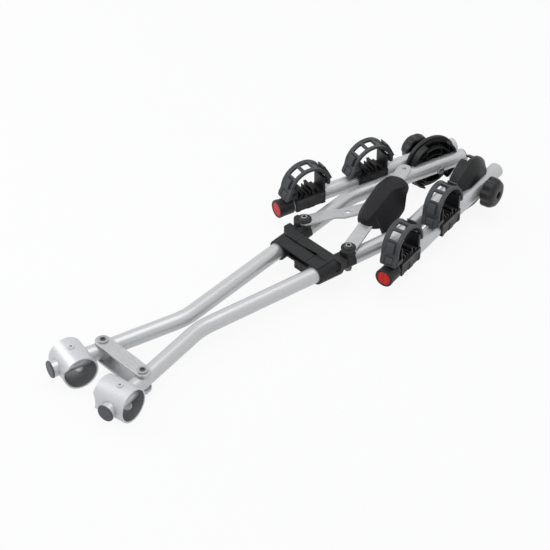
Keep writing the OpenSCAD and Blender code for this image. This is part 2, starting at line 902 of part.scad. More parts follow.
module arm_cap(side) {
    cap_r = tube_r + cap_wall;
    rim = 6;
    on_side(side)
        arm_frame()
            translate([-arm_front, 0, 0])
                rotate([0, 90, 0])
                    color("#28282a")
                        difference() {
                            union() {
                                cylinder(r1 = cap_r - 0.6, r2 = cap_r + 0.5, h = 1.1);
                                translate([0, 0, 1.1]) cylinder(r = cap_r + 0.5, h = rim - 1.1);
                                translate([0, 0, rim]) cylinder(r = cap_r, h = cap_len - rim);
                            }
                            translate([0, 0, 2]) cylinder(r = tube_r + weld_gap, h = cap_len);
                            translate([0, 0, -eps]) cylinder(d = reflector_d + 2 * weld_gap, h = 4);
                        }
}

module reflector(side) {
    on_side(side)
        arm_frame()
            translate([-arm_front + 0.6, 0, 0])
                rotate([0, 90, 0])
                    color("red")
                        cylinder(d = reflector_d, h = 1.4);
}

module arm_plug(side) {
    on_side(side)
        arm_frame()
            translate([arm_rear, 0, 0])
                color("gainsboro")
                    end_plug(1.5);
}

// Two V-shaped springs in the front bay of a cradle, drawn as bent strips.
module chevron(x, low, high, t) {
    mid = (low + high) / 2;
    nose = 7;
    polygon([
        [x, low], [x + t, low], [x + nose + t, mid], [x + t, high],
        [x, high], [x + nose, mid]
    ]);
}

// Side view of the cradle's upper works, in arm length and height.
module cradle_side() {
    wall = 2.8;
    seat_z = tube_r + 1.5;
    tall = 29;
    square([cradle_len, seat_z]);
    square([wall, cradle_h]);
    translate([cradle_len - 5, 0]) square([5, cradle_h - 4]);
    translate([cradle_len - 5, tall]) square([8, 5]);
    translate([26, 0]) square([2.2, tall - 5]);
    chevron(4.5, seat_z - 0.5, 33, 2);
    chevron(13, seat_z - 0.5, 30, 2);
    translate([31.5, 0]) square([3, tall]);
    translate([30.5, tall - 2.5]) square([5, 2.5]);
    translate([43, 0]) square([3, tall - 8]);
    translate([42, tall - 10.5]) square([5, 2.5]);
}

// Cradle base: a saddle round the arm tube, upright springs and fins, the
// front lugs with the strap pin, and the catch at the rear.
module cradle(side, i) {
    skirt = -9;
    lug_y = strap_w / 2 - 2 + face_gap;
    lug_t = 2.6;
    wrap_r = tube_r + 2.6;
    panel_r = 12;
    on_side(side)
        arm_frame()
            translate([cradle_x[i], 0, 0])
                color("#222224")
                    difference() {
                        union() {
                            intersection() {
                                rotate([90, 0, 0])
                                    linear_extrude(cradle_w - 4, center = true)
                                        cradle_side();
                                translate([0, -cradle_w / 2, 0])
                                    cube([cradle_len + 10, cradle_w, cradle_h + 1]);
                            }
                            intersection() {
                                rotate([0, 90, 0]) cylinder(r = wrap_r, h = cradle_len);
                                translate([0, -wrap_r, skirt]) cube([cradle_len, 2 * wrap_r, wrap_r - skirt]);
                            }
                            for (s = [-1, 1])
                                translate([0, s * cradle_w / 2 - (s > 0 ? 2.4 : 0), skirt])
                                    cube([cradle_len, 2.4, tube_r + 1.5 - skirt]);
                            for (s = [-1, 1])
                                translate([0, s * (lug_y + lug_t / 2), 0])
                                    rotate([90, 0, 0])
                                        linear_extrude(lug_t, center = true)
                                            strap_lug();
                            translate([strap_pin[0], 0, strap_pin[1]])
                                rotate([90, 0, 0])
                                    cylinder(d = pin_d, h = 2 * lug_y + lug_t, center = true);
                        }
                        translate([-eps, 0, 0])
                            rotate([0, 90, 0])
                                cylinder(r = tube_r + weld_gap, h = cradle_len + 2 * eps);
                        for (s = [-1, 1])
                            for (x = [14.5, 43])
                                translate([x, s * (cradle_w / 2 + 0.2), 0])
                                    rotate([90, 0, 0])
                                        cylinder(r = panel_r - 1, h = 2.4, center = true);
                    }
}

// Side view of one front lug, from the front wall out to the strap pin.
module strap_lug() {
    translate([strap_pin[0], strap_pin[1]]) circle(r = 4);
    translate([strap_pin[0], strap_pin[1] - 4]) square([3 - strap_pin[0], 8]);
}

// A ring sector of the strap between two angles, with its outer face raised by extra.
module strap_arc(a0, a1, inner, outer, w) {
    translate([arch[0], 0, arch[1]])
        rotate([90, 0, 0])
            rotate([0, 0, a0])
                rotate_extrude(angle = a1 - a0, $fn = 120)
                    translate([inner, -w / 2])
                        square([outer - inner, w]);
}

// Rubber strap: an arch with windows, a raised thumb pad, a tab with its pin eye
// at the front, and a pull tab behind the catch.
module strap(side, i) {
    r1 = strap_in_r;
    r2 = strap_in_r + strap_t;
    window_w = strap_w - 14;
    half_window = 12.5;
    eye_r = pin_d / 2 + 3;
    tab_w = strap_w - 4;
    on_side(side)
        arm_frame()
            translate([cradle_x[i], 0, 0])
                color("#34373a")
                    difference() {
                        union() {
                            strap_arc(-6, 178, r1, r2, strap_w);
                            strap_arc(143, 172, r2 - 1, r2 + 2.4, window_w - 1);
                            rotate([90, 0, 0]) {
                                linear_extrude(tab_w, center = true)
                                    strap_tab(eye_r);
                                linear_extrude(window_w + 2, center = true)
                                    pull_tab(r2);
                            }
                        }
                        for (a = [123, 90, 57])
                            strap_arc(a - half_window, a + half_window, r1 - eps, r2 + eps, window_w);
                        strap_arc(4, 18, r1 - eps, r2 + eps, window_w - 2);
                        strap_arc(148, 167, r2 + 1, r2 + 4, window_w - 7);
                        translate([strap_pin[0], 0, strap_pin[1]])
                            rotate([90, 0, 0])
                                cylinder(r = pin_d / 2 + run_gap, h = 2 * strap_w, center = true);
                    }
}

// Side view of the front tab, from the foot of the arch down past the pin.
module strap_tab(eye_r) {
    foot = arch + (strap_in_r + strap_t / 2) * [cos(178), sin(178)];
    tip = [strap_pin[0] - 4.5, strap_pin[1] - 6.5];
    t = strap_t / 2;
    translate([strap_pin[0], strap_pin[1]]) circle(r = eye_r);
    polygon([
        [foot[0] - t, foot[1] + 1.5], [foot[0] + t, foot[1] + 1.5],
        [strap_pin[0] + t + 1, strap_pin[1]], [tip[0] + 2 * t, tip[1]],
        [tip[0], tip[1]], [strap_pin[0] - t - 1.6, strap_pin[1]]
    ]);
}

// Side view of the pull tab at the rear of the strap.
module pull_tab(r2) {
    root = arch + (r2 - 1) * [cos(46), sin(46)];
    low = arch + (r2 - 1) * [cos(30), sin(30)];
    polygon([
        root, root + [3, 3.5], [root[0] + 19, root[1] - 26],
        [root[0] + 16.8, root[1] - 27.5], low
    ]);
}

// Knob with a skirt, a threaded hub and shallow finger flutes.
module knob(side) {
    flutes = 7;
    skirt_wall = 4.5;
    back_gap = 3.4;
    dome = 7;
    hub_r = 9.5;
    on_side(side)
        hinge_frame()
            translate([0, 0, knob_back])
                color("#232326")
                    difference() {
                        union() {
                            translate([0, 0, back_gap]) cylinder(r = knob_r, h = knob_t - back_gap - dome, $fn = 96);
                            translate([0, 0, knob_t - dome])
                                cylinder(r1 = knob_r, r2 = knob_r - 4, h = dome - 2.5, $fn = 96);
                            translate([0, 0, knob_t - 2.5])
                                cylinder(r1 = knob_r - 4, r2 = knob_r - 9, h = 2.5, $fn = 96);
                            cylinder(r = hub_r, h = knob_t - 1);
                        }
                        difference() {
                            translate([0, 0, -eps])
                                cylinder(r = knob_r - skirt_wall, h = knob_t - 8 + eps, $fn = 72);
                            cylinder(r = hub_r, h = knob_t);
                        }
                        for (i = [0:flutes - 1])
                            rotate([0, 0, i * 360 / flutes])
                                translate([knob_r + 14, 0, -eps])
                                    cylinder(r = 16.5, h = knob_t + 2 * eps);
                        translate([0, 0, knob_t - 5]) cylinder(r = 6, h = 6);
                        translate([0, 0, -eps]) cylinder(r = hinge_r + run_gap, h = knob_t + 2 * eps);
                    }
}

link_plate(plate_z);  // link_plate_top
link_plate(-plate_z - plate_t);  // link_plate_bottom
pivot_bolt(-1);  // pivot_bolt_left
pivot_bolt(1);  // pivot_bolt_right
frame_tube(-1);  // frame_tube_left
frame_tube(1);  // frame_tube_right
ball_cup(-1);  // ball_cup_left
ball_cup(1);  // ball_cup_right
foot_plug(-1);  // foot_plug_left
foot_plug(1);  // foot_plug_right
cup_screw(-1);  // cup_screw_left
cup_screw(1);  // cup_screw_right
bracket(-1);  // bracket_left
bracket(1);  // bracket_right
bracket_base(-1);  // bracket_base_left
bracket_base(1);  // bracket_base_right
ear_bolt(-1);  // ear_bolt_left
ear_bolt(1);  // ear_bolt_right
hinge_dish(-1);  // hinge_dish_left
hinge_dish(1);  // hinge_dish_right
hinge_bolt(-1);  // hinge_bolt_left
hinge_bolt(1);  // hinge_bolt_right
frame_plug(-1);  // frame_plug_left
frame_plug(1);  // frame_plug_right
link_bar();
lever_bar();
toggle_pin();
grip();
arm_tube(-1);  // arm_tube_left
arm_tube(1);  // arm_tube_right
arm_seat(-1);  // arm_seat_left
arm_seat(1);  // arm_seat_right
arm_cap(-1);  // arm_cap_left
arm_cap(1);  // arm_cap_right
reflector(-1);  // reflector_left
reflector(1);  // reflector_right
arm_plug(-1);  // arm_plug_left
arm_plug(1);  // arm_plug_right
cradle(-1, 0);  // cradle_left_front
cradle(-1, 1);  // cradle_left_rear
cradle(1, 0);  // cradle_right_front
cradle(1, 1);  // cradle_right_rear
strap(-1, 0);  // strap_left_front
strap(-1, 1);  // strap_left_rear
strap(1, 0);  // strap_right_front
strap(1, 1);  // strap_right_rear
knob(-1);  // knob_left
knob(1);  // knob_right
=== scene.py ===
"""Looks of a folded hitch bike carrier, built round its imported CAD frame."""
import json
import logging
import math
from collections.abc import Iterable, Sequence
from dataclasses import dataclass
from enum import Enum

import bmesh
import bpy
from bmesh.types import BMEdge, BMesh, BMFace, BMVert
from mathutils import Matrix, Vector


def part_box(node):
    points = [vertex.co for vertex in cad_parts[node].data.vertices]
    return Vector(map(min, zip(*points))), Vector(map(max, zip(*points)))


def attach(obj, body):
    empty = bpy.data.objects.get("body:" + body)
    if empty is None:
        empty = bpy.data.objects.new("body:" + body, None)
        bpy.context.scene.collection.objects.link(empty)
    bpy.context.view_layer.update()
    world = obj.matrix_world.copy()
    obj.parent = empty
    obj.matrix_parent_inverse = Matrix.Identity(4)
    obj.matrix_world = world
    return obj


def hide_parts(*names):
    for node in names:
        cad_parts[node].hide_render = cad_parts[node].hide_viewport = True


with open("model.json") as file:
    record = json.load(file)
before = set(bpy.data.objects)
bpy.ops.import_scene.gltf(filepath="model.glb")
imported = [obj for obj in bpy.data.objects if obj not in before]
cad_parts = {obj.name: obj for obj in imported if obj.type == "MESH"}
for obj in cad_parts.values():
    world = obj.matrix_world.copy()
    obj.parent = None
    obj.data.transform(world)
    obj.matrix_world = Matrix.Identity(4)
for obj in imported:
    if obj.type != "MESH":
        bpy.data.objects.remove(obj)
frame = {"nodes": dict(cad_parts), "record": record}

logging.basicConfig(level=logging.INFO, format="%(message)s")
LOG = logging.getLogger("carrier")
MM = 0.001
SHARP_DEG = 35.0
Stops = Sequence[tuple[float, Sequence[float]]]
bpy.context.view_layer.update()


class Side(Enum):
    """The two mirrored halves of the carrier."""

    LEFT = "left"
    RIGHT = "right"

    @property
    def mirror(self) -> Matrix:
        """The matrix that takes a right-hand piece to this side."""
        return Matrix.Scale(-1, 4, (1, 0, 0)) if self is Side.LEFT else Matrix.Identity(4)


class Seat(Enum):
    """The two cradles of an arm, nearest its free end first."""

    FRONT = "front"
    REAR = "rear"


class Slot(Enum):
    """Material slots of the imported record."""

    TUBE = "tube_steel"
    PLATE = "plate_steel"
    BOLT = "bolt_steel"
    PLUG = "plug_plastic"
    BLACK = "black_plastic"
    SOFT_BLACK = "soft_black"
    STRAP = "strap_rubber"
    RED = "reflector_red"


# ---------------------------------------------------------------- finishes


class Graph:
    """A material's node tree with short ways to add and join nodes."""

    MIDDLE = (0.3, 0.7)

    def __init__(self, name: str) -> None:
        """Starts an empty material.

        Args:
            name: The material's name.
        """
        self.material = bpy.data.materials.new(name)
        self.material.use_nodes = True
        self.tree = self.material.node_tree
        self.tree.nodes.clear()
        self.output = self.add("ShaderNodeOutputMaterial")
        self.surface = self.add("ShaderNodeBsdfPrincipled")
        self.join(self.surface, "BSDF", self.output, "Surface")
        self.place = self.add("ShaderNodeTexCoord")

    def add(self, kind: str, **values: object) -> bpy.types.Node:
        """Adds a node and sets its properties.

        Args:
            kind: The node's class name.
            **values: Properties of the node by name.

        Returns:
            The new node.
        """
        node = self.tree.nodes.new(kind)
        for key, value in values.items():
            setattr(node, key, value)
        return node

    def join(self, a: bpy.types.Node, out: str | int, b: bpy.types.Node, into: str | int) -> None:
        """Links one node's output to another's input."""
        self.tree.links.new(a.outputs[out], b.inputs[into])

    def stretched(self, scale: Sequence[float]) -> bpy.types.Node:
        """Object coordinates scaled along each axis.

        Args:
            scale: The scale along each axis.

        Returns:
            The mapping node.
        """
        node = self.add("ShaderNodeMapping")
        self.join(self.place, "Object", node, "Vector")
        node.inputs["Scale"].default_value = tuple(scale)
        return node

    def noise(self, size: float, detail: float = 3, stretch: Sequence[float] = (1, 1, 1)) -> bpy.types.Node:
        """A noise pattern.

        Args:
            size: Size of its blots in metres.
            detail: Octaves of detail.
            stretch: Scale of the coordinates along each axis.

        Returns:
            The noise node.
        """
        node = self.add("ShaderNodeTexNoise")
        self.join(self.stretched(stretch), "Vector", node, "Vector")
        node.inputs["Scale"].default_value = 1 / size
        node.inputs["Detail"].default_value = detail
        return node

    def cells(self, size: float, feature: str = "F1") -> bpy.types.Node:
        """A cell pattern.

        Args:
            size: Size of its cells in metres.
            feature: What the pattern measures.

        Returns:
            The cell node.
        """
        node = self.add("ShaderNodeTexVoronoi", feature=feature)
        self.join(self.place, "Object", node, "Vector")
        node.inputs["Scale"].default_value = 1 / size
        return node

    def roughen(self, source: bpy.types.Node, low: float, high: float) -> None:
        """Varies the roughness with a noise, from low to high over the noise's middle range.

        Args:
            source: The noise's node.
            low: Roughness at the lower end, and below it.
            high: Roughness at the upper end, and above it.
        """
        node = self.add("ShaderNodeMapRange")
        self.join(source, "Fac", node, "Value")
        for key, value in zip(("From Min", "From Max", "To Min", "To Max"), (*self.MIDDLE, low, high)):
            node.inputs[key].default_value = value
        self.join(node, "Result", self.surface, "Roughness")

    def tones(self, source: bpy.types.Node, out: str, stops: Stops) -> None:
        """Lays a colour ramp over a pattern as the base colour.

        Args:
            source: The pattern's node.
            out: Its output.
            stops: Position and colour of each stop.
        """
        ramp = self.add("ShaderNodeValToRGB")
        self.join(source, out, ramp, "Fac")
        points = ramp.color_ramp.elements
        while len(points) < len(stops):
            points.new(0.5)
        for point, (at, colour) in zip(points, stops):
            point.position = at
            point.color = (*colour, 1)
        self.join(ramp, "Color", self.surface, "Base Color")

    def bump(self, source: bpy.types.Node, out: str, strength: float, depth: float,
             under: bpy.types.Node | None = None) -> bpy.types.Node:
        """Raises a pattern as relief on the surface.

        Args:
            source: The pattern's node.
            out: Its output.
            strength: Strength from 0 to 1.
            depth: Depth of the relief in metres.
            under: A coarser relief below this one.

        Returns:
            The bump node, joined to the shader's normal.
        """
        node = self.add("ShaderNodeBump")
        node.inputs["Strength"].default_value = strength
        node.inputs["Distance"].default_value = depth
        self.join(source, out, node, "Height")
        if under is not None:
            self.join(under, "Normal", node, "Normal")
        self.join(node, "Normal", self.surface, "Normal")
        return node

    def set(self, **values: float) -> None:
        """Sets sockets of the shader, with _ for a blank in their names."""
        for key, value in values.items():
            self.surface.inputs[key.replace("_", " ")].default_value = value


def grey(value: float, blue: float = 0.0) -> tuple[float, float, float]:
    """A grey of the given linear value, a little bluer by blue."""
    return (value * (1 - blue), value, value * (1 + blue))


@dataclass(frozen=True)
class SilverPaint:
    """Metallic silver powder coat of the tubes, with fine flake and faint orange peel."""

    name: str
    tone: float = 0.56
    metallic: float = 0.5
    roughness: float = 0.33
    flake_size: float = 0.0009
    haze_size: float = 0.05
    peel_size: float = 0.0022

    def material(self) -> bpy.types.Material:
        """Builds the material.

        Returns:
            The material.
        """
        g = Graph(self.name)
        flake = g.noise(self.flake_size, 2)
        g.tones(flake, "Fac", [(0.3, grey(self.tone * 0.88, 0.01)), (0.5, grey(self.tone, 0.012)),
                               (0.72, grey(self.tone * 1.12, 0.015))])
        g.roughen(g.noise(self.haze_size, 4), self.roughness - 0.04, self.roughness + 0.06)
        peel = g.bump(g.noise(self.peel_size, 1), "Fac", 0.25, 0.00006)
        g.bump(flake, "Fac", 0.12, 0.00003, peel)
        g.set(Metallic=self.metallic, Coat_Weight=0.12, Coat_Roughness=0.18)
        return g.material


@dataclass(frozen=True)
class SheetSteel:
    """Plated flat steel, with a rolled grain along one axis and a few rub marks."""

    name: str
    tone: float = 0.6
    metallic: float = 0.7
    roughness: float = 0.36
    grain: tuple[float, float, float] = (0.12, 1, 1)
    grain_size: float = 0.0012
    rub_size: float = 0.018

    def material(self) -> bpy.types.Material:
        """Builds the material.

        Returns:
            The material.
        """
        g = Graph(self.name)
        grain = g.noise(self.grain_size, 4, self.grain)
        g.tones(grain, "Fac", [(0.25, grey(self.tone * 0.82, 0.01)), (0.55, grey(self.tone, 0.01)),
                               (0.8, grey(self.tone * 1.14, 0.01))])
        g.roughen(g.noise(self.rub_size, 6), self.roughness - 0.06, self.roughness + 0.1)
        g.bump(grain, "Fac", 0.2, 0.00003)
        g.set(Metallic=self.metallic)
        return g.material


@dataclass(frozen=True)
class MouldedPlastic:
    """Moulded plastic or rubber with an eroded grain and a faint bloom."""

    name: str
    colour: tuple[float, float, float]
    roughness: float = 0.45
    grain: float = 0.0011
    depth: float = 0.00012
    bloom: float = 1.5
    specular: float = 0.5
    sheen: float = 0.0
    bloom_size: float = 0.016

    def material(self) -> bpy.types.Material:
        """Builds the material.

        Returns:
            The material.
        """
        g = Graph(self.name)
        bloom = g.noise(self.bloom_size, 5)
        pale = tuple(min(1.0, c * self.bloom + 0.002) for c in self.colour)
        deep = tuple(c * 0.8 for c in self.colour)
        g.tones(bloom, "Fac", [(0.3, deep), (0.52, self.colour), (0.78, pale)])
        g.roughen(bloom, self.roughness - 0.05, self.roughness + 0.08)
        grain = g.cells(self.grain, "SMOOTH_F1")
        relief = g.bump(grain, "Distance", 0.5, self.depth)
        g.bump(g.noise(self.grain * 0.6, 2), "Fac", 0.25, self.depth * 0.6, relief)
        g.set(Specular_IOR_Level=self.specular, Sheen_Weight=self.sheen, Sheen_Roughness=0.5)
        return g.material


@dataclass(frozen=True)
class PrismRed:
    """Red reflector lens: small prism cells under a clear glossy face, each with a painted highlight at its centre
    and darker towards its edge.
    """

    name: str
    colour: tuple[float, float, float] = (0.70, 0.012, 0.012)
    cell: float = 0.0021

    def material(self) -> bpy.types.Material:
        """Builds the material.

        Returns:
            The material.
        """
        g = Graph(self.name)
        cells = g.cells(self.cell)
        cells.inputs["Randomness"].default_value = 0.12
        # Painted highlight: each prism cell is a lighter red at its centre, standing in for its glint.
        glint_red = tuple(min(1.0, c * 1.2 + 0.008) for c in self.colour)
        deep = tuple(c * 0.72 for c in self.colour)
        g.tones(cells, "Distance", [(0.08, glint_red), (0.38, self.colour), (0.62, deep)])
        g.bump(cells, "Distance", 0.45, 0.0004)
        g.set(Roughness=0.32, Specular_IOR_Level=0.15, Coat_Weight=0.08, Coat_Roughness=0.08)
        return g.material


class Palette:
    """The carrier's materials by name, each built once."""

    def __init__(self) -> None:
        """Builds every finish."""
        # A moulded plastic has its colour, roughness, grain, depth, bloom, specular and sheen, in this order.
        finishes = [
            SilverPaint("silver_tube"),
            SilverPaint("silver_cup", tone=0.62, metallic=0.35, roughness=0.4),
            # Painted shade: a dark grey for the cup bores, standing in for the shadow inside the cups.
            SheetSteel("bore_painted_shade", tone=0.24, metallic=0.4, roughness=0.45, grain=(1, 1, 1)),
            SheetSteel("plated_bar", tone=0.52, roughness=0.4),
            SheetSteel("plated_plate", tone=0.5, roughness=0.38),
            SheetSteel("zinc_bolt", tone=0.42, metallic=0.85, roughness=0.3, grain=(1, 1, 1)),
            SheetSteel("dark_bolt", tone=0.12, metallic=0.8, roughness=0.34, grain=(1, 1, 1)),
            MouldedPlastic("grained_black", (0.0105, 0.011, 0.012), 0.5, 0.0019, 0.0005, 2.2, 0.3),
            MouldedPlastic("satin_black", (0.011, 0.0113, 0.0125), 0.42, 0.0010, 0.00008, 1.6, 0.3),
            MouldedPlastic("knob_black", (0.0125, 0.013, 0.0145), 0.4, 0.0013, 0.0001, 1.6, 0.32),
            MouldedPlastic("soft_grip", (0.0105, 0.0098, 0.0115), 0.52, 0.0009, 0.0001, 1.4, 0.2),
            MouldedPlastic("strap_rubber", (0.040, 0.044, 0.047), 0.5, 0.0010, 0.00008, 1.3, 0.4, 0.04),
            MouldedPlastic("grey_plug", (0.075, 0.08, 0.09), 0.42, 0.0012, 0.00006, 1.2, 0.35),
            MouldedPlastic("dark_plug", (0.035, 0.037, 0.042), 0.42, 0.0012, 0.00006, 1.4),
            MouldedPlastic("pale_plug", (0.55, 0.56, 0.57), 0.4, 0.0012, 0.00005, 1.1),
            MouldedPlastic("white_button", (0.86, 0.87, 0.85), 0.4, 0.0012, 0.00005, 1.05),
            PrismRed("prism_red"),
        ]
        self.made = {f.name: f.material() for f in finishes}

    def __getitem__(self, name: str) -> bpy.types.Material:
        """The material of that name."""
        return self.made[name]


# ---------------------------------------------------------------- workshop


def shift(x: float, y: float, z: float) -> Matrix:
    """A translation in millimetres."""
    return Matrix.Translation(Vector((x, y, z)) * MM)


def turn(degrees: float, axis: str) -> Matrix:
    """A rotation about a named axis."""
    return Matrix.Rotation(math.radians(degrees), 4, axis)


@dataclass(frozen=True)
class Layout:
    """Where the sub-assemblies stand, in millimetres and degrees, as the CAD has them."""

    clamp: float = 12.0
    plate_x: float = 47.3
    plate_y: float = 53.5
    ear_x: float = 51.9
    ear_y: float = 484.0
    hinge_x: float = 29.0826
    hinge_y: float = 778.154
    arm_gap: float = 35.0
    rest: float = 68.465
    lever_z: float = 18.35

    def hinge(self) -> Matrix:
        """Frame of the right hinge: +Z along the bolt, +Y up the tube."""
        return shift(self.hinge_x, self.hinge_y, 0) @ turn(self.clamp, "Z") @ turn(90, "Y")

    def arm(self) -> Matrix:
        """Frame of the right arm: +X along it to the frame's top, +Z up."""
        return (shift(self.hinge_x, self.hinge_y, 0) @ turn(self.clamp, "Z")
                @ shift(self.arm_gap, 0, 0) @ turn(90, "Z"))

    def lever(self) -> Matrix:
        """Frame of the lever: +X from the right ear bolt to its tip."""
        return shift(self.ear_x, self.ear_y, 0) @ turn(180 - self.rest, "Z")

    def cup(self) -> Matrix:
        """Frame of the right cup: +Z along it outward, +Y up the lower tube.

        Returns:
            The frame as a matrix in metres.
        """
        lean = math.radians(self.clamp)
        x = self.plate_x + self.plate_y * math.sin(lean)
        y = self.plate_y - self.plate_y * math.cos(lean)
        return shift(x, y, 0) @ turn(self.clamp, "Z") @ turn(90, "Y")


class Piece:
    """A bmesh in millimetres on its way to becoming a piece of the carrier."""

    DOUBLE = 1e-4

    def __init__(self, name: str) -> None:
        """Starts an empty piece.

        Args:
            name: The piece's name.
        """
        self.name = name
        self.bm: BMesh = bmesh.new()

    def row(self, points: Iterable[Sequence[float]]) -> list[BMEdge]:
        """Lays an open chain of vertices.

        Args:
            points: Its corners in millimetres.

        Returns:
            The chain's edges.
        """
        verts = [self.bm.verts.new(p) for p in points]
        return [self.bm.edges.new(pair) for pair in zip(verts, verts[1:])]

    def ring(self, radius: float, segments: int) -> list[BMEdge]:
        """Lays a circle about Z and returns its edges."""
        made = bmesh.ops.create_circle(self.bm, segments=segments, radius=radius)
        return list({e for v in made["verts"] for e in v.link_edges})

    def draw(self, edges: list[BMEdge], matrix: Matrix) -> list[BMEdge]:
        """Extrudes a chain and transforms its new copy.

        Args:
            edges: The chain.
            matrix: The move of the copy, in millimetres.

        Returns:
            The copy's edges.
        """
        made = bmesh.ops.extrude_edge_only(self.bm, edges=edges)["geom"]
        verts = [v for v in made if isinstance(v, BMVert)]
        bmesh.ops.transform(self.bm, matrix=matrix, verts=verts)
        fresh = set(verts)
        return [e for e in made if isinstance(e, BMEdge) and e.verts[0] in fresh and e.verts[1] in fresh]

    def sweep(self, edges: list[BMEdge], stations: Sequence[Matrix]) -> list[BMEdge]:
        """Draws a chain through a list of stations.

        Args:
            edges: The chain, laid at the origin.
            stations: Its place at each row, the first one included.

        Returns:
            The last row's edges.
        """
        bmesh.ops.transform(self.bm, matrix=stations[0], verts=list({v for e in edges for v in e.verts}))
        for old, new in zip(stations, stations[1:]):
            edges = self.draw(edges, new @ old.inverted())
        return edges

    def cap(self, edges: list[BMEdge]) -> None:
        """Closes a ring with a fan.

        Args:
            edges: The ring.
        """
        made = bmesh.ops.extrude_edge_only(self.bm, edges=edges)["geom"]
        verts = [v for v in made if isinstance(v, BMVert)]
        middle = sum((v.co for v in verts), Vector()) / len(verts)
        bmesh.ops.pointmerge(self.bm, verts=verts, merge_co=middle)

    def turned(self, profile: Iterable[tuple[float, float]], segments: int) -> None:
        """Spins a profile of (radius, height) about Z.

        Args:
            profile: Its corners, from one end to the other.
            segments: Steps of the full turn.
        """
        chain = self.row([(r, 0, z) for r, z in profile])
        verts = list({v for e in chain for v in e.verts})
        bmesh.ops.spin(self.bm, geom=verts + chain, cent=(0, 0, 0), axis=(0, 0, 1), angle=math.tau,
                       steps=segments, use_merge=True)
        bmesh.ops.remove_doubles(self.bm, verts=self.bm.verts, dist=self.DOUBLE)

    def emboss(self, faces: list[BMFace], steps: Iterable[tuple[float, float]]) -> None:
        """Insets a patch of faces step by step.

        Args:
            faces: The patch.
            steps: Thickness and depth of each inset in millimetres.
        """
        for thickness, depth in steps:
            bmesh.ops.inset_region(self.bm, faces=faces, thickness=thickness, depth=depth)

    def close(self) -> None:
        """Merges doubles and points every face outwards."""
        bmesh.ops.remove_doubles(self.bm, verts=self.bm.verts, dist=self.DOUBLE)
        bmesh.ops.recalc_face_normals(self.bm, faces=self.bm.faces)

    def finish(self, place: Matrix, side: Side, material: bpy.types.Material, body: str, slot: Slot,
               stands_for: Sequence[str] = (), sharp: float = SHARP_DEG) -> bpy.types.Object:
        """Puts the piece on the carrier.

        Args:
            place: Frame of the right-hand piece, in metres.
            side: The side that it is on.
            material: Its finish.
            body: The CAD body that it rides on.
            slot: The record's material slot; not used.
            stands_for: CAD nodes that it replaces.
            sharp: Angle above which an edge shades as a crease.

        Returns:
            The finished object.
        """
        self.bm.transform(side.mirror @ place @ Matrix.Scale(MM, 4))
        if side is Side.LEFT:
            bmesh.ops.reverse_faces(self.bm, faces=self.bm.faces)
        return settle(self.name, self.bm, material, body, stands_for, sharp)


def settle(name: str, bm: BMesh, material: bpy.types.Material, body: str,
           stands_for: Sequence[str], sharp: float) -> bpy.types.Object:
    """Turns a bmesh into a shaded object that rides on a body.

    Args:
        name: The object's name.
        bm: The bmesh, in metres. It is freed.
        material: The finish.
        body: The CAD body that it rides on.
        stands_for: CAD nodes that it replaces.
        sharp: Angle above which an edge shades as a crease.

    Returns:
        The new object.
    """
    mesh = bpy.data.meshes.new(name)
    bm.to_mesh(mesh)
    bm.free()
    mesh.shade_smooth()
    mesh.set_sharp_from_angle(angle=math.radians(sharp))
    mesh.materials.append(material)
    obj = bpy.data.objects.new(name, mesh)
    bpy.context.scene.collection.objects.link(obj)
    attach(obj, body)
    if stands_for:
        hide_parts(*stands_for)
    LOG.info("%s: %d faces on %s", name, len(mesh.polygons), body)
    return obj


def rounded(obj: bpy.types.Object, width: float, segments: int = 2, angle: float = SHARP_DEG) -> bpy.types.Object:
    """Rounds a piece's sharp edges with a Bevel modifier.

    Args:
        obj: The piece.
        width: Width of the rounding in millimetres.
        segments: Facets of the rounding.
        angle: Angle above which an edge is rounded.

    Returns:
        The same object.
    """
    bevel = obj.modifiers.new("edge_round", "BEVEL")
    bevel.width = width * MM
    bevel.segments = segments
    bevel.limit_method = "ANGLE"
    bevel.angle_limit = math.radians(angle)
    bevel.use_clamp_overlap = False
    bevel.harden_normals = True
    return obj


def moulded(obj: bpy.types.Object, wall: float, crease: float, corner: float = 0.3, levels: int = 2) -> None:
    """Gives a sheet its wall inwards, with creased edges, and then smooths it.

    Args:
        obj: The sheet.
        wall: Thickness of the wall in millimetres.
        crease: Crease along the sheet's edge, on both faces.
        corner: Crease across the rim.
        levels: Levels of smoothing.
    """
    solid = obj.modifiers.new("wall", "SOLIDIFY")
    solid.thickness = wall * MM
    solid.offset = -1.0
    solid.use_even_offset = True
    solid.edge_crease_inner = crease
    solid.edge_crease_outer = crease
    solid.edge_crease_rim = corner
    smooth = obj.modifiers.new("smooth", "SUBSURF")
    smooth.levels = levels
    smooth.render_levels = levels


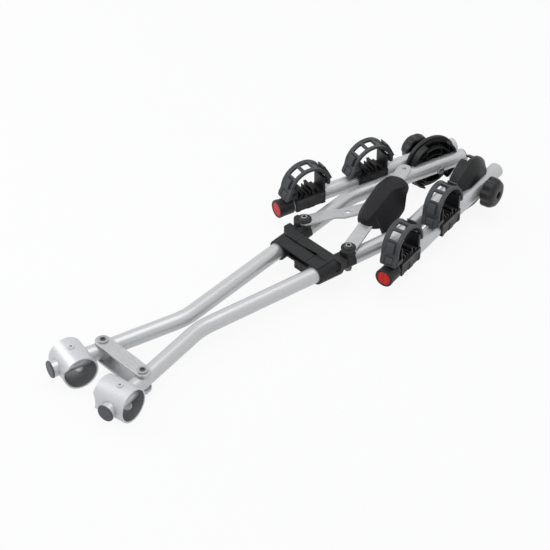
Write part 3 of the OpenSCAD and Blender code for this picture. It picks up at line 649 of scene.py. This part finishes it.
class Shop:
    """Dresses CAD nodes: with a finish alone, or as a copy with rounded edges."""

    SEAM = 2e-6
    SLIVER = 2e-5
    FLAT_DEG = 0.6

    def __init__(self, palette: Palette) -> None:
        """Keeps the palette and the node to body table."""
        self.palette = palette
        self.body = {n: b for b, names in frame["record"]["behaviour"]["bodies"].items() for n in names}

    def paint(self, node: str, finish: str) -> None:
        """Gives a CAD node its finish as it stands.

        Args:
            node: The CAD node.
            finish: Its finish.
        """
        mesh = frame["nodes"][node].data
        mesh.materials.clear()
        mesh.materials.append(self.palette[finish])
        LOG.info("%s: painted %s", node, finish)

    def recut(self, node: str, finish: str, slot: Slot, width: float, segments: int = 2) -> bpy.types.Object:
        """Replaces a CAD node with a merged copy whose sharp edges are rounded.

        Args:
            node: The CAD node.
            finish: Its finish.
            slot: The record's material slot; not used.
            width: Width of the rounding in millimetres.
            segments: Facets of the rounding.

        Returns:
            The new object.
        """
        bm = bmesh.new()
        bm.from_mesh(frame["nodes"][node].data)
        bmesh.ops.remove_doubles(bm, verts=bm.verts, dist=self.SEAM)
        bmesh.ops.dissolve_degenerate(bm, edges=bm.edges, dist=self.SLIVER)
        bmesh.ops.dissolve_limit(bm, angle_limit=math.radians(self.FLAT_DEG), use_dissolve_boundaries=False,
                                 verts=bm.verts, edges=bm.edges)
        obj = settle(node + "_shell", bm, self.palette[finish], self.body[node], [node], SHARP_DEG)
        return rounded(obj, width, segments)

    def ring(self, node: str, finish: str, inner: float, outer: float, height: float) -> None:
        """Lays a turned ring on top of a CAD bolt.

        Args:
            node: The bolt.
            finish: The ring's finish.
            inner: Its inner radius in millimetres.
            outer: Its outer radius.
            height: Its height.
        """
        low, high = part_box(node)
        piece = Piece(node + "_ring")
        piece.turned([(inner, -0.3), (outer, -0.3), (outer, height * 0.6), (outer - height * 0.5, height),
                      (inner + height * 0.3, height), (inner, height * 0.7), (inner, -0.3)], 48)
        piece.close()
        at = Matrix.Translation(((low[0] + high[0]) / 2, (low[1] + high[1]) / 2, high[2]))
        piece.finish(at, Side.RIGHT, self.palette[finish], self.body[node], Slot.BOLT)


# ---------------------------------------------------------------- carrier


@dataclass
class BallClamp:
    """The two cups with their buttons and their bores darkened by painted shade, the link plates and the bolts.
    Sizes in millimetres.
    """

    shop: Shop
    place: Layout
    bore_r: float = 25.5
    bore_slack: float = 0.4
    bore_facing: float = 0.5
    button_r: float = 7.0
    button_t: float = 2.4
    button_lean: float = 30.0
    button_out: float = 2.0

    def build(self) -> None:
        """Builds both halves of the clamp."""
        for side in Side:
            tag = side.value
            cup = self.shop.recut(f"ball_cup_{tag}", "silver_cup", Slot.TUBE, 0.7, 3)
            self.paint_bore_shade(cup, side)
            self.button(side)
            self.shop.recut(f"foot_plug_{tag}", "grey_plug", Slot.PLUG, 0.8)
            self.shop.recut(f"cup_screw_{tag}", "silver_cup", Slot.BOLT, 0.3)
            self.shop.recut(f"pivot_bolt_{tag}", "zinc_bolt", Slot.BOLT, 0.4)
            self.shop.ring(f"pivot_bolt_{tag}", "dark_bolt", 2.7, 4.9, 0.5)
        for end in ("top", "bottom"):
            self.shop.recut(f"link_plate_{end}", "plated_plate", Slot.PLATE, 0.7, 3)

    def paint_bore_shade(self, cup: bpy.types.Object, side: Side) -> None:
        """Gives the faces of a cup's bore a dark finish: painted shade, standing in for the shadow inside the cup.

        Args:
            cup: The cup.
            side: The side that it is on.
        """
        # Painted shade: the bore's inward faces take the dark second material instead of the silver paint.
        cup.data.materials.append(self.shop.palette["bore_painted_shade"])
        back = (side.mirror @ self.place.cup()).inverted()
        for face in cup.data.polygons:
            at, facing = back @ face.center / MM, back.to_3x3() @ face.normal
            reach = math.hypot(at.x, at.y)
            inward = at.x * facing.x + at.y * facing.y < -self.bore_facing * reach
            if inward and reach < self.bore_r + self.bore_slack:
                face.material_index = 1

    def button(self, side: Side) -> None:
        """Turns the pale button that shows low inside a cup.

        Args:
            side: The side that the cup is on.
        """
        tag = side.value
        piece = Piece(f"cup_{tag}_button")
        r, t = self.button_r, self.button_t
        piece.turned([(0, -0.6), (r, -0.6), (r, t - 0.9), (r - 0.3, t - 0.3), (r - 1.0, t), (r - 2.0, t - 0.1),
                      (r - 2.4, t - 0.7), (0, t - 0.7)], 40)
        piece.close()
        at = shift(0, 0, self.button_out) @ turn(self.button_lean, "Z") @ shift(self.bore_r, 0, 0) @ turn(-90, "Y")
        piece.finish(self.place.cup() @ at, side, self.shop.palette["white_button"],
                     self.shop.body[f"ball_cup_{tag}"], Slot.PLUG)


@dataclass
class FrameTubes:
    """The two bent tubes and the plugs at their tops."""

    shop: Shop

    def build(self) -> None:
        """Paints the tubes and rounds their plugs."""
        for side in Side:
            self.shop.paint(f"frame_tube_{side.value}", "silver_tube")
            self.shop.recut(f"frame_plug_{side.value}", "dark_plug", Slot.PLUG, 0.6)


@dataclass
class Brackets:
    """The grained brackets that carry the toggle, and their bolts."""

    shop: Shop

    def build(self) -> None:
        """Builds both brackets."""
        for side in Side:
            tag = side.value
            self.shop.recut(f"bracket_{tag}", "grained_black", Slot.BLACK, 0.9, 3)
            self.shop.recut(f"bracket_base_{tag}", "grained_black", Slot.BLACK, 0.8, 2)
            self.shop.recut(f"ear_bolt_{tag}", "dark_bolt", Slot.BOLT, 0.4)
            self.shop.ring(f"ear_bolt_{tag}", "zinc_bolt", 3.3, 4.7, 0.6)


@dataclass
class Toggle:
    """Lever, link, their pin and the hood grip. Sizes in millimetres.

    The grip's wall ends on the bar on one side and is deep on the other, but over its first ramp and its last nose.
    Its shoulder keeps end_in of the plan lengthwise, and across it short_in, or deep_in on the deep side, where
    splay widens it towards the far end. Each of side_rows is a share of the way up the wall and of the way in to
    the shoulder, and each of crown_rows a share of the shoulder's plan and a height over the crown.
    """

    shop: Shop
    place: Layout
    start: float = 66.5
    length: float = 141.5
    width: float = 59.0
    off_line: float = -2.0
    top: float = 41.0
    wall: float = 3.0
    deep: float = -4.0
    bar_half: float = 12.6
    bar_gap: float = 0.4
    nose: float = 37.0
    nose_z: float = 23.65
    short_in: float = 0.76
    deep_in: float = 0.37
    near_in: float = 0.06
    splay: float = 0.58
    splay_from: float = 0.2
    splay_over: float = 0.7
    end_in: float = 0.955
    roll: float = 3.6
    long_r: float = 380.0
    round_r: float = 46.0
    round_to: float = 40.0
    ramp: float = 19.0
    ramp_z: float = 13.0
    ramp_rise: float = 0.32
    far_corner: float = 0.6
    near_corner: float = 0.8
    side_rows: tuple[tuple[float, float], ...] = ((0.0, 0.0), (0.12, 0.06), (0.5, 0.56), (0.84, 0.9), (1.0, 1.0))
    crown_rows: tuple[tuple[float, float], ...] = (
        (0.965, -1.5), (0.91, -0.35), (0.82, 0.0), (0.6, 0.0), (0.36, 0.0), (0.16, 0.0))
    segments: int = 72

    def build(self) -> None:
        """Builds the toggle."""
        self.shop.recut("link_bar", "plated_bar", Slot.PLATE, 0.6, 2)
        self.shop.recut("lever_bar", "plated_bar", Slot.PLATE, 0.6, 2)
        self.shop.recut("toggle_pin", "zinc_bolt", Slot.BOLT, 0.5, 3)
        self.hood()

    def crown(self, x: float, y: float) -> float:
        """Height of the grip's crown at a point of its plan.

        Args:
            x: Distance from the grip's middle along the lever.
            y: Distance from the lever's middle line.

        Returns:
            The height above the tube plane.
        """
        across = self.round_r - math.sqrt(self.round_r**2 - min(abs(y), self.round_to) ** 2)
        return self.top - across - (self.long_r - math.sqrt(self.long_r**2 - x * x))

    def skirt(self, x: float, y: float) -> float:
        """Height of the grip's lower edge at a point of its plan.

        Args:
            x: Distance from the grip's near end.
            y: Distance from the lever's middle line.

        Returns:
            The height above the tube plane.
        """
        if x > self.length - self.nose:
            return self.nose_z
        if y > -self.bar_half:
            return self.place.lever_z + self.bar_gap
        return self.ramp_z + (self.ramp - x) * self.ramp_rise if x < self.ramp else self.deep

    def shoulder(self, x: float, y: float) -> tuple[float, float]:
        """Plan of the crown's edge above a point of the outline: drawn in, most on the deep side.

        Args:
            x: Distance from the grip's middle along the lever.
            y: Distance from the outline's middle line.

        Returns:
            The edge's place in the same plan.
        """
        if y > 0:
            return x * self.end_in, y * self.short_in
        part = x / self.length * 2
        far = min(1.0, max(0.0, (part - self.splay_from) / self.splay_over))
        drawn = self.deep_in + self.splay * far * far * (3 - 2 * far) + self.near_in * min(0.0, part)
        return x * self.end_in, y * drawn

    def placed(self, row: int, angle: float) -> Vector:
        """Place of a vertex of the grip.

        Args:
            row: Its row, counted from the lower edge up the side and over the crown.
            angle: Its angle round the grip in radians, before the corners are squared.

        Returns:
            The place in the lever's frame, in millimetres.
        """
        a, b = self.length / 2, self.width / 2
        c, s = math.cos(angle), math.sin(angle)
        bend = self.near_corner if c < 0 else self.far_corner
        x, y = a * math.copysign(abs(c) ** bend, c), b * math.copysign(abs(s) ** bend, s)
        sx, sy = self.shoulder(x, y)
        if row < len(self.side_rows):
            up, inward = self.side_rows[row]
            low = self.skirt(x + a, y + self.off_line)
            edge = self.crown(sx, sy + self.off_line) - self.roll
            x, y, z = x + (sx - x) * inward, y + (sy - y) * inward, low + (edge - low) * up
        else:
            scale, drop = self.crown_rows[row - len(self.side_rows)]
            middle = b * (self.short_in - self.deep_in) / 2
            x, y = sx * scale, middle + (sy - middle) * scale
            z = self.crown(x, y + self.off_line) + drop
        return Vector((self.start + a + x, self.off_line + y, z))

    def hood(self) -> None:
        """Draws the grip up from its lower edge over a sloping side and across its crown."""
        piece = Piece("grip_hood")
        rows = [piece.ring(1.0, self.segments)]
        for _ in range(len(self.side_rows) + len(self.crown_rows) - 1):
            rows.append(piece.draw(rows[-1], Matrix.Identity(4)))
        for i, row in enumerate(rows):
            for v in {v for e in row for v in e.verts}:
                v.co = self.placed(i, math.atan2(v.co.y, v.co.x))
        piece.cap(rows[-1])
        piece.close()
        obj = piece.finish(self.place.lever(), Side.RIGHT, self.shop.palette["soft_grip"], "lever",
                           Slot.SOFT_BLACK, ["grip"], 50)
        moulded(obj, self.wall, 0.6, levels=1)


@dataclass
class Hinges:
    """Ribbed dishes, the arm seats that turn over them, bolts and knobs. Sizes in millimetres.

    A knob's flutes reach flute_in from its rim, stand between the two of flute_z and fade out over flute_ease.
    """

    shop: Shop
    place: Layout
    knob_r: float = 26.5
    knob_t: float = 27.0
    knob_at: float = 48.75
    flutes: int = 7
    flute_depth: float = 2.6
    flute_share: float = 0.62
    flute_in: float = 9.0
    flute_z: tuple[float, float] = (3.0, 18.0)
    flute_ease: float = 8.0

    def build(self) -> None:
        """Builds both hinges."""
        for side in Side:
            tag = side.value
            self.shop.recut(f"hinge_dish_{tag}", "satin_black", Slot.BLACK, 0.6, 2)
            self.shop.recut(f"arm_seat_{tag}", "satin_black", Slot.BLACK, 1.0, 3)
            self.shop.recut(f"hinge_bolt_{tag}", "zinc_bolt", Slot.BOLT, 0.4)
            self.knob(side)

    def flute(self, angle: float) -> float:
        """Depth of the finger flutes at an angle round the knob.

        Args:
            angle: The angle in radians.

        Returns:
            The depth as a share from 0 to 1.
        """
        phase = (angle * self.flutes / math.tau) % 1.0
        near = abs(phase - 0.5) * 2
        return max(0.0, 1 - (near / self.flute_share) ** 2) ** 1.5

    def press(self, at: Vector) -> float:
        """How the flutes draw a point of the knob towards its axis.

        Args:
            at: The point in the knob's frame.

        Returns:
            The factor for its distance from the axis.
        """
        reach, inner = math.hypot(at.x, at.y), self.knob_r - self.flute_in
        low, high = self.flute_z
        if reach <= inner or at.z <= low:
            return 1.0
        top = 1.0 if at.z < high else max(0.0, (high + self.flute_ease - at.z) / self.flute_ease)
        share = min(1.0, (reach - inner) / self.flute_ease) * top
        return 1 - self.flute_depth * self.flute(math.atan2(at.y, at.x)) * share / reach

    def knob(self, side: Side) -> None:
        """Turns the knob's section, then presses the flutes into its side.

        Args:
            side: The side that the knob is on.
        """
        r, t = self.knob_r, self.knob_t
        piece = Piece(f"knob_{side.value}_head")
        profile = [(4.2, 1.0), (9.5, 1.0), (9.5, 19.0), (r - 4.5, 19.0), (r - 4.5, 3.4), (r - 1.2, 3.4), (r, 4.6),
                   (r, 9.0), (r, 14.0), (r - 0.4, 18.0), (r - 1.8, 21.4), (r - 4.4, 24.2), (r - 8.4, 26.0),
                   (r - 13.5, t - 0.3), (7.4, t), (6.2, t - 0.8), (6.0, t - 5.0), (4.2, t - 5.0), (4.2, 1.0)]
        piece.turned(profile, 84)
        for v in piece.bm.verts:
            press = self.press(v.co)
            v.co.x *= press
            v.co.y *= press
        piece.close()
        obj = piece.finish(self.place.hinge() @ shift(0, 0, self.knob_at), side, self.shop.palette["knob_black"],
                           f"{side.value}_knob", Slot.BLACK, [f"knob_{side.value}"], 40)
        rounded(obj, 0.5, 2, 50)


@dataclass
class Arms:
    """Arm tubes with their caps, reflectors and plugs."""

    shop: Shop

    def build(self) -> None:
        """Builds both arms."""
        for side in Side:
            tag = side.value
            self.shop.paint(f"arm_tube_{tag}", "silver_tube")
            self.shop.recut(f"arm_cap_{tag}", "satin_black", Slot.BLACK, 0.5, 3)
            self.shop.recut(f"reflector_{tag}", "prism_red", Slot.RED, 0.3)
            self.shop.recut(f"arm_plug_{tag}", "pale_plug", Slot.PLUG, 0.5)


@dataclass
class Strap:
    """One rubber strap: a windowed arch, a thumb pad, a hinge tab and a pull plate. Sizes in millimetres.

    Angles are in degrees round the arch's centre, from the catch over the top. One window is blind: it doesn't go
    through. Each row of the tab has its place along the arm, its height and its share of the band's width. Each of
    the steps is the thickness and the depth of an inset.
    """

    shop: Shop
    place: Layout
    starts: tuple[float, float] = (-271.0, -144.0)
    centre_x: float = 26.75
    centre_z: float = 31.0
    radius: float = 38.9
    width: float = 31.6
    wall: float = 4.4
    lip: float = 0.9
    lip_in: float = 2.2
    crest: float = 30.0
    lean: tuple[float, float] = (4.0, 1.5)
    lean_least: float = 0.2
    lean_low: float = 20.0
    lean_over: float = 50.0
    window: float = 16.8
    window_edge: float = 3.0
    windows: tuple[tuple[float, float], ...] = ((135.5, 110.5), (102.5, 77.5), (69.5, 44.5), (18.0, 4.0))
    blind: int = 2
    blind_steps: tuple[tuple[float, float], ...] = ((0.4, -2.2),)
    bends: tuple[float, ...] = (178.0, 160.0, 153.0, 35.0, 26.0, -3.0, -6.0)
    pad: tuple[float, float] = (170.0, 141.0)
    pad_steps: tuple[tuple[float, float], ...] = ((0.3, -1.5), (0.7, 0.0), (0.2, 2.2), (0.3, 2.0), (0.6, 0.3))
    tab: tuple[tuple[float, float, float], ...] = (
        (-19.3, 18.1, 0.82), (-19.2, 19.5, 0.93), (-18.1, 23.0, 0.95), (-15.8, 27.5, 0.98))
    notch_x: float = -9.0
    notch_z: tuple[float, float] = (20.0, 31.0)
    notch_steps: tuple[tuple[float, float], ...] = ((0.3, -1.9), (0.9, 0.0), (0.3, 1.5))
    plate_row: tuple[float, ...] = (-8.4, -6.8, -3.0, 0.0, 3.0, 6.8, 8.4)
    plate_path: tuple[tuple[float, float], ...] = (
        (54.2, 61.6), (56.0, 63.0), (58.6, 61.4), (60.6, 58.4), (62.2, 56.0), (65.2, 50.6), (66.8, 47.8),
        (69.6, 42.4), (71.0, 39.6), (73.6, 34.2), (74.4, 32.4))
    rib_reach: float = 6.8
    rib_half: float = 1.6
    rib_z: tuple[float, ...] = (57.2, 49.2, 41.0)
    rib_steps: tuple[tuple[float, float], ...] = ((0.3, 0.7),)

    def build(self, side: Side, seat: Seat) -> None:
        """Builds the strap of one cradle.

        Args:
            side: The side that the cradle is on.
            seat: Its place on the arm.
        """
        tag = f"{side.value}_{seat.value}"
        piece = Piece(f"strap_{tag}_band")
        self.band(piece)
        self.pull_plate(piece)
        self.tilt(piece, self.lean[0 if side is Side.RIGHT else 1])
        start = self.starts[0 if seat is Seat.FRONT else 1]
        obj = piece.finish(self.place.arm() @ shift(start, 0, 0), side, self.shop.palette["strap_rubber"],
                           f"{side.value}_{seat.value}_strap", Slot.STRAP, [f"strap_{tag}"], 60)
        moulded(obj, self.wall, 0.75, corner=0.0)

    def tilt(self, piece: Piece, lean: float) -> None:
        """Lets the strap lean inboard, more the higher it is.

        Args:
            piece: The strap.
            lean: How far it leans at its top.
        """
        for v in piece.bm.verts:
            high = min(1.0, max(0.0, (v.co.z - self.lean_low) / self.lean_over))
            v.co.y += lean * (self.lean_least + (1 - self.lean_least) * high)

    def angles(self) -> list[float]:
        """Angles of the band's rows, from the tab over the top to the catch.

        Returns:
            The angles, the largest first.
        """
        rows = {*self.bends, *self.pad}
        for high, low in self.windows:
            rows |= {high, high - self.window_edge, (high + low) / 2, low + self.window_edge, low}
        return sorted(rows, reverse=True)

    def middle(self) -> Vector:
        """Centre of the arch."""
        return Vector((self.centre_x, 0, self.centre_z))

    def on_arch(self, face: BMFace, high: float, low: float) -> bool:
        """Whether a face lies between two angles and no farther out than the windows."""
        d = face.calc_center_median() - self.middle()
        return low < math.degrees(math.atan2(d.z, d.x)) < high and abs(d.y) < self.window / 2

    def in_notch(self, face: BMFace) -> bool:
        """Whether a face lies in the notch above the hinge tab."""
        at, (low, high) = face.calc_center_median(), self.notch_z
        return low < at.z < high and at.x < self.notch_x and abs(at.y) < self.window / 2

    def band(self, piece: Piece) -> None:
        """Sweeps the band along its arch, opens the windows and raises the pad.

        Args:
            piece: The strap.
        """
        half, win = self.width / 2, self.window / 2
        across = (win - 2.6, win, win + 2.4, half - 2, half)
        row = piece.row([(0, y, 0) for y in (*(-y for y in reversed(across)), 0, *across)])
        stations = [Matrix.Translation((x, 0, z)) @ Matrix.Diagonal((1, s, 1, 1)) for x, z, s in self.tab]
        for a in self.angles():
            x = self.centre_x + self.radius * math.cos(math.radians(a))
            z = self.centre_z + self.radius * math.sin(math.radians(a))
            stations.append(Matrix.Translation((x, 0, z)))
        piece.sweep(row, stations)
        faces = list(piece.bm.faces)
        bmesh.ops.recalc_face_normals(piece.bm, faces=faces)
        lead = next(f for f in faces if f.calc_center_median().z > self.centre_z + self.crest)
        if lead.normal.dot(lead.calc_center_median() - self.middle()) < 0:
            bmesh.ops.reverse_faces(piece.bm, faces=faces)
        piece.emboss([f for f in faces if self.on_arch(f, *self.pad)], self.pad_steps)
        piece.emboss([f for f in faces if f.is_valid and self.in_notch(f)], self.notch_steps)
        blind = self.windows[self.blind]
        piece.emboss([f for f in piece.bm.faces if self.on_arch(f, *blind)], self.blind_steps)
        through = [w for w in self.windows if w != blind]
        holes = [f for f in piece.bm.faces if any(self.on_arch(f, *w) for w in through)]
        bmesh.ops.delete(piece.bm, geom=holes, context="FACES")
        for v in piece.bm.verts:
            if abs(v.co.y) > half - self.lip_in and v.co.z > self.centre_z:
                v.co += (v.co - self.middle() - Vector((0, v.co.y, 0))).normalized() * self.lip

    def pull_plate(self, piece: Piece) -> None:
        """Adds the ridged plate that stands off the band above the catch.

        Args:
            piece: The strap.
        """
        row = piece.row([(0, y, 0) for y in self.plate_row])
        known = set(piece.bm.faces)
        piece.sweep(row, [Matrix.Translation((x, 0, z)) for x, z in self.plate_path])
        plate = [f for f in piece.bm.faces if f not in known]
        if plate[len(plate) // 2].normal.x < 0:
            bmesh.ops.reverse_faces(piece.bm, faces=plate)
        ribs = [f for f in plate if abs(f.calc_center_median().y) < self.rib_reach
                and any(abs(f.calc_center_median().z - z) < self.rib_half for z in self.rib_z)]
        for rib in ribs:
            piece.emboss([rib], self.rib_steps)


@dataclass
class Cradles:
    """The four cradles and their straps."""

    shop: Shop
    place: Layout

    def build(self) -> None:
        """Builds every cradle and strap."""
        strap = Strap(self.shop, self.place)
        for side in Side:
            for seat in Seat:
                tag = f"{side.value}_{seat.value}"
                self.shop.recut(f"cradle_{tag}", "satin_black", Slot.BLACK, 0.4, 2)
                strap.build(side, seat)


# ---------------------------------------------------------------- studio


@dataclass(frozen=True)
class Lamp:
    """A square soft light that looks at the carrier's middle."""

    name: str
    at: tuple[float, float, float]
    size: float
    watts: float
    target: tuple[float, float, float] = (0.0, 0.45, 0.0)

    def hang(self) -> None:
        """Hangs the lamp."""
        data = bpy.data.lights.new(self.name, "AREA")
        data.shape = "SQUARE"
        data.size = self.size
        data.energy = self.watts
        lamp = bpy.data.objects.new(self.name, data)
        lamp.location = self.at
        aim = Vector(self.target) - Vector(self.at)
        lamp.rotation_euler = aim.to_track_quat("-Z", "Y").to_euler()
        bpy.context.scene.collection.objects.link(lamp)


@dataclass
class Studio:
    """Pale floor, soft light and the photograph's camera."""

    floor_front: float = -0.0287
    floor_back: float = -0.0505
    hinge_y: float = 0.778
    floor_reach: float = 15.0
    paper_glow: float = 0.9
    room_tint: tuple[float, float, float] = (0.92, 0.95, 1.0)
    room_strength: float = 0.5
    focal_px: float = 1854.8
    frame_px: float = 550.0
    sensor: float = 36.0
    eye: tuple[float, float, float] = (1.6940, -1.2122, 1.8884)
    right: tuple[float, float, float] = (0.68234, 0.73103, 0.00025)
    up: tuple[float, float, float] = (-0.46197, 0.43093, 0.77517)
    back: tuple[float, float, float] = (0.56657, -0.52905, 0.63175)
    lamps: tuple[Lamp, ...] = (
        Lamp("overhead", (0.1, 0.6, 2.4), 2.0, 20.0),
        Lamp("left_window", (-1.9, -0.7, 1.7), 1.5, 20.0),
        Lamp("front_fill", (1.2, -1.8, 1.5), 1.8, 7.0),
    )

    def build(self) -> None:
        """Sets up floor, world, lamps and camera."""
        bpy.context.scene.view_settings.view_transform = "Standard"
        self.lay_floor()
        self.light_world()
        for lamp in self.lamps:
            lamp.hang()
        self.set_camera()

    def lay_floor(self) -> None:
        """Lays a pale floor that touches the cups and the dishes."""
        bm = bmesh.new()
        bmesh.ops.create_grid(bm, x_segments=1, y_segments=1, size=self.floor_reach)
        fall = (self.floor_back - self.floor_front) / self.hinge_y
        bm.transform(Matrix.Translation((0, 0, self.floor_front)) @ Matrix.Rotation(math.atan(fall), 4, "X"))
        mesh = bpy.data.meshes.new("floor")
        bm.to_mesh(mesh)
        bm.free()
        floor = bpy.data.objects.new("floor", mesh)
        bpy.context.scene.collection.objects.link(floor)
        mesh.materials.append(self.paper())

    def paper(self) -> bpy.types.Material:
        """White paper that keeps a soft shadow for the camera.

        Returns:
            The material.
        """
        g = Graph("studio_paper")
        g.set(Roughness=0.9, Specular_IOR_Level=0.1)
        g.tones(g.noise(0.4, 2), "Fac", [(0.3, grey(0.84)), (0.7, grey(0.88))])
        glow = g.add("ShaderNodeEmission")
        glow.inputs["Color"].default_value = (1, 1, 1, 1)
        glow.inputs["Strength"].default_value = 1.0
        seen = self.seen_rays(g.tree)
        part = g.add("ShaderNodeMath", operation="MULTIPLY")
        part.inputs[1].default_value = self.paper_glow
        g.tree.links.new(seen.outputs[0], part.inputs[0])
        mix = g.add("ShaderNodeMixShader")
        g.join(part, "Value", mix, 0)
        g.join(g.surface, "BSDF", mix, 1)
        g.join(glow, "Emission", mix, 2)
        g.join(mix, "Shader", g.output, "Surface")
        return g.material

    def seen_rays(self, tree: bpy.types.NodeTree) -> bpy.types.Node:
        """A node that is 1 for camera, glossy and transmission rays.

        Args:
            tree: The node tree to add to.

        Returns:
            The last of its nodes.
        """
        path = tree.nodes.new("ShaderNodeLightPath")
        source = path.outputs["Is Camera Ray"]
        for name in ("Is Glossy Ray", "Is Transmission Ray"):
            either = tree.nodes.new("ShaderNodeMath")
            either.operation = "MAXIMUM"
            tree.links.new(source, either.inputs[0])
            tree.links.new(path.outputs[name], either.inputs[1])
            source = either.outputs[0]
        return source.node

    def light_world(self) -> None:
        """Pale surroundings: white where they are seen, softer as light."""
        world = bpy.data.worlds.new("studio_room")
        bpy.context.scene.world = world
        world.use_nodes = True
        tree = world.node_tree
        tree.nodes.clear()
        out = tree.nodes.new("ShaderNodeOutputWorld")
        room, seen = tree.nodes.new("ShaderNodeBackground"), tree.nodes.new("ShaderNodeBackground")
        room.inputs["Color"].default_value = (*self.room_tint, 1)
        room.inputs["Strength"].default_value = self.room_strength
        seen.inputs["Color"].default_value = (1, 1, 1, 1)
        mix = tree.nodes.new("ShaderNodeMixShader")
        tree.links.new(self.seen_rays(tree).outputs[0], mix.inputs[0])
        tree.links.new(room.outputs[0], mix.inputs[1])
        tree.links.new(seen.outputs[0], mix.inputs[2])
        tree.links.new(mix.outputs[0], out.inputs["Surface"])

    def set_camera(self) -> None:
        """Puts the camera where the photograph was taken from."""
        data = bpy.data.cameras.new("photo_camera")
        data.sensor_width = self.sensor
        data.lens = self.focal_px * self.sensor / self.frame_px
        data.clip_end = 100
        camera = bpy.data.objects.new("photo_camera", data)
        bpy.context.scene.collection.objects.link(camera)
        rows = zip(self.right, self.up, self.back, self.eye)
        camera.matrix_world = Matrix((*rows, (0, 0, 0, 1)))
        bpy.context.scene.camera = camera


def main() -> None:
    """Builds the carrier and the studio."""
    place = Layout()
    shop = Shop(Palette())
    for assembly in (BallClamp(shop, place), FrameTubes(shop), Brackets(shop), Toggle(shop, place),
                     Hinges(shop, place), Arms(shop), Cradles(shop, place)):
        assembly.build()
        LOG.info("%s built", type(assembly).__name__)
    Studio().build()


if __name__ == "__main__":
    main()
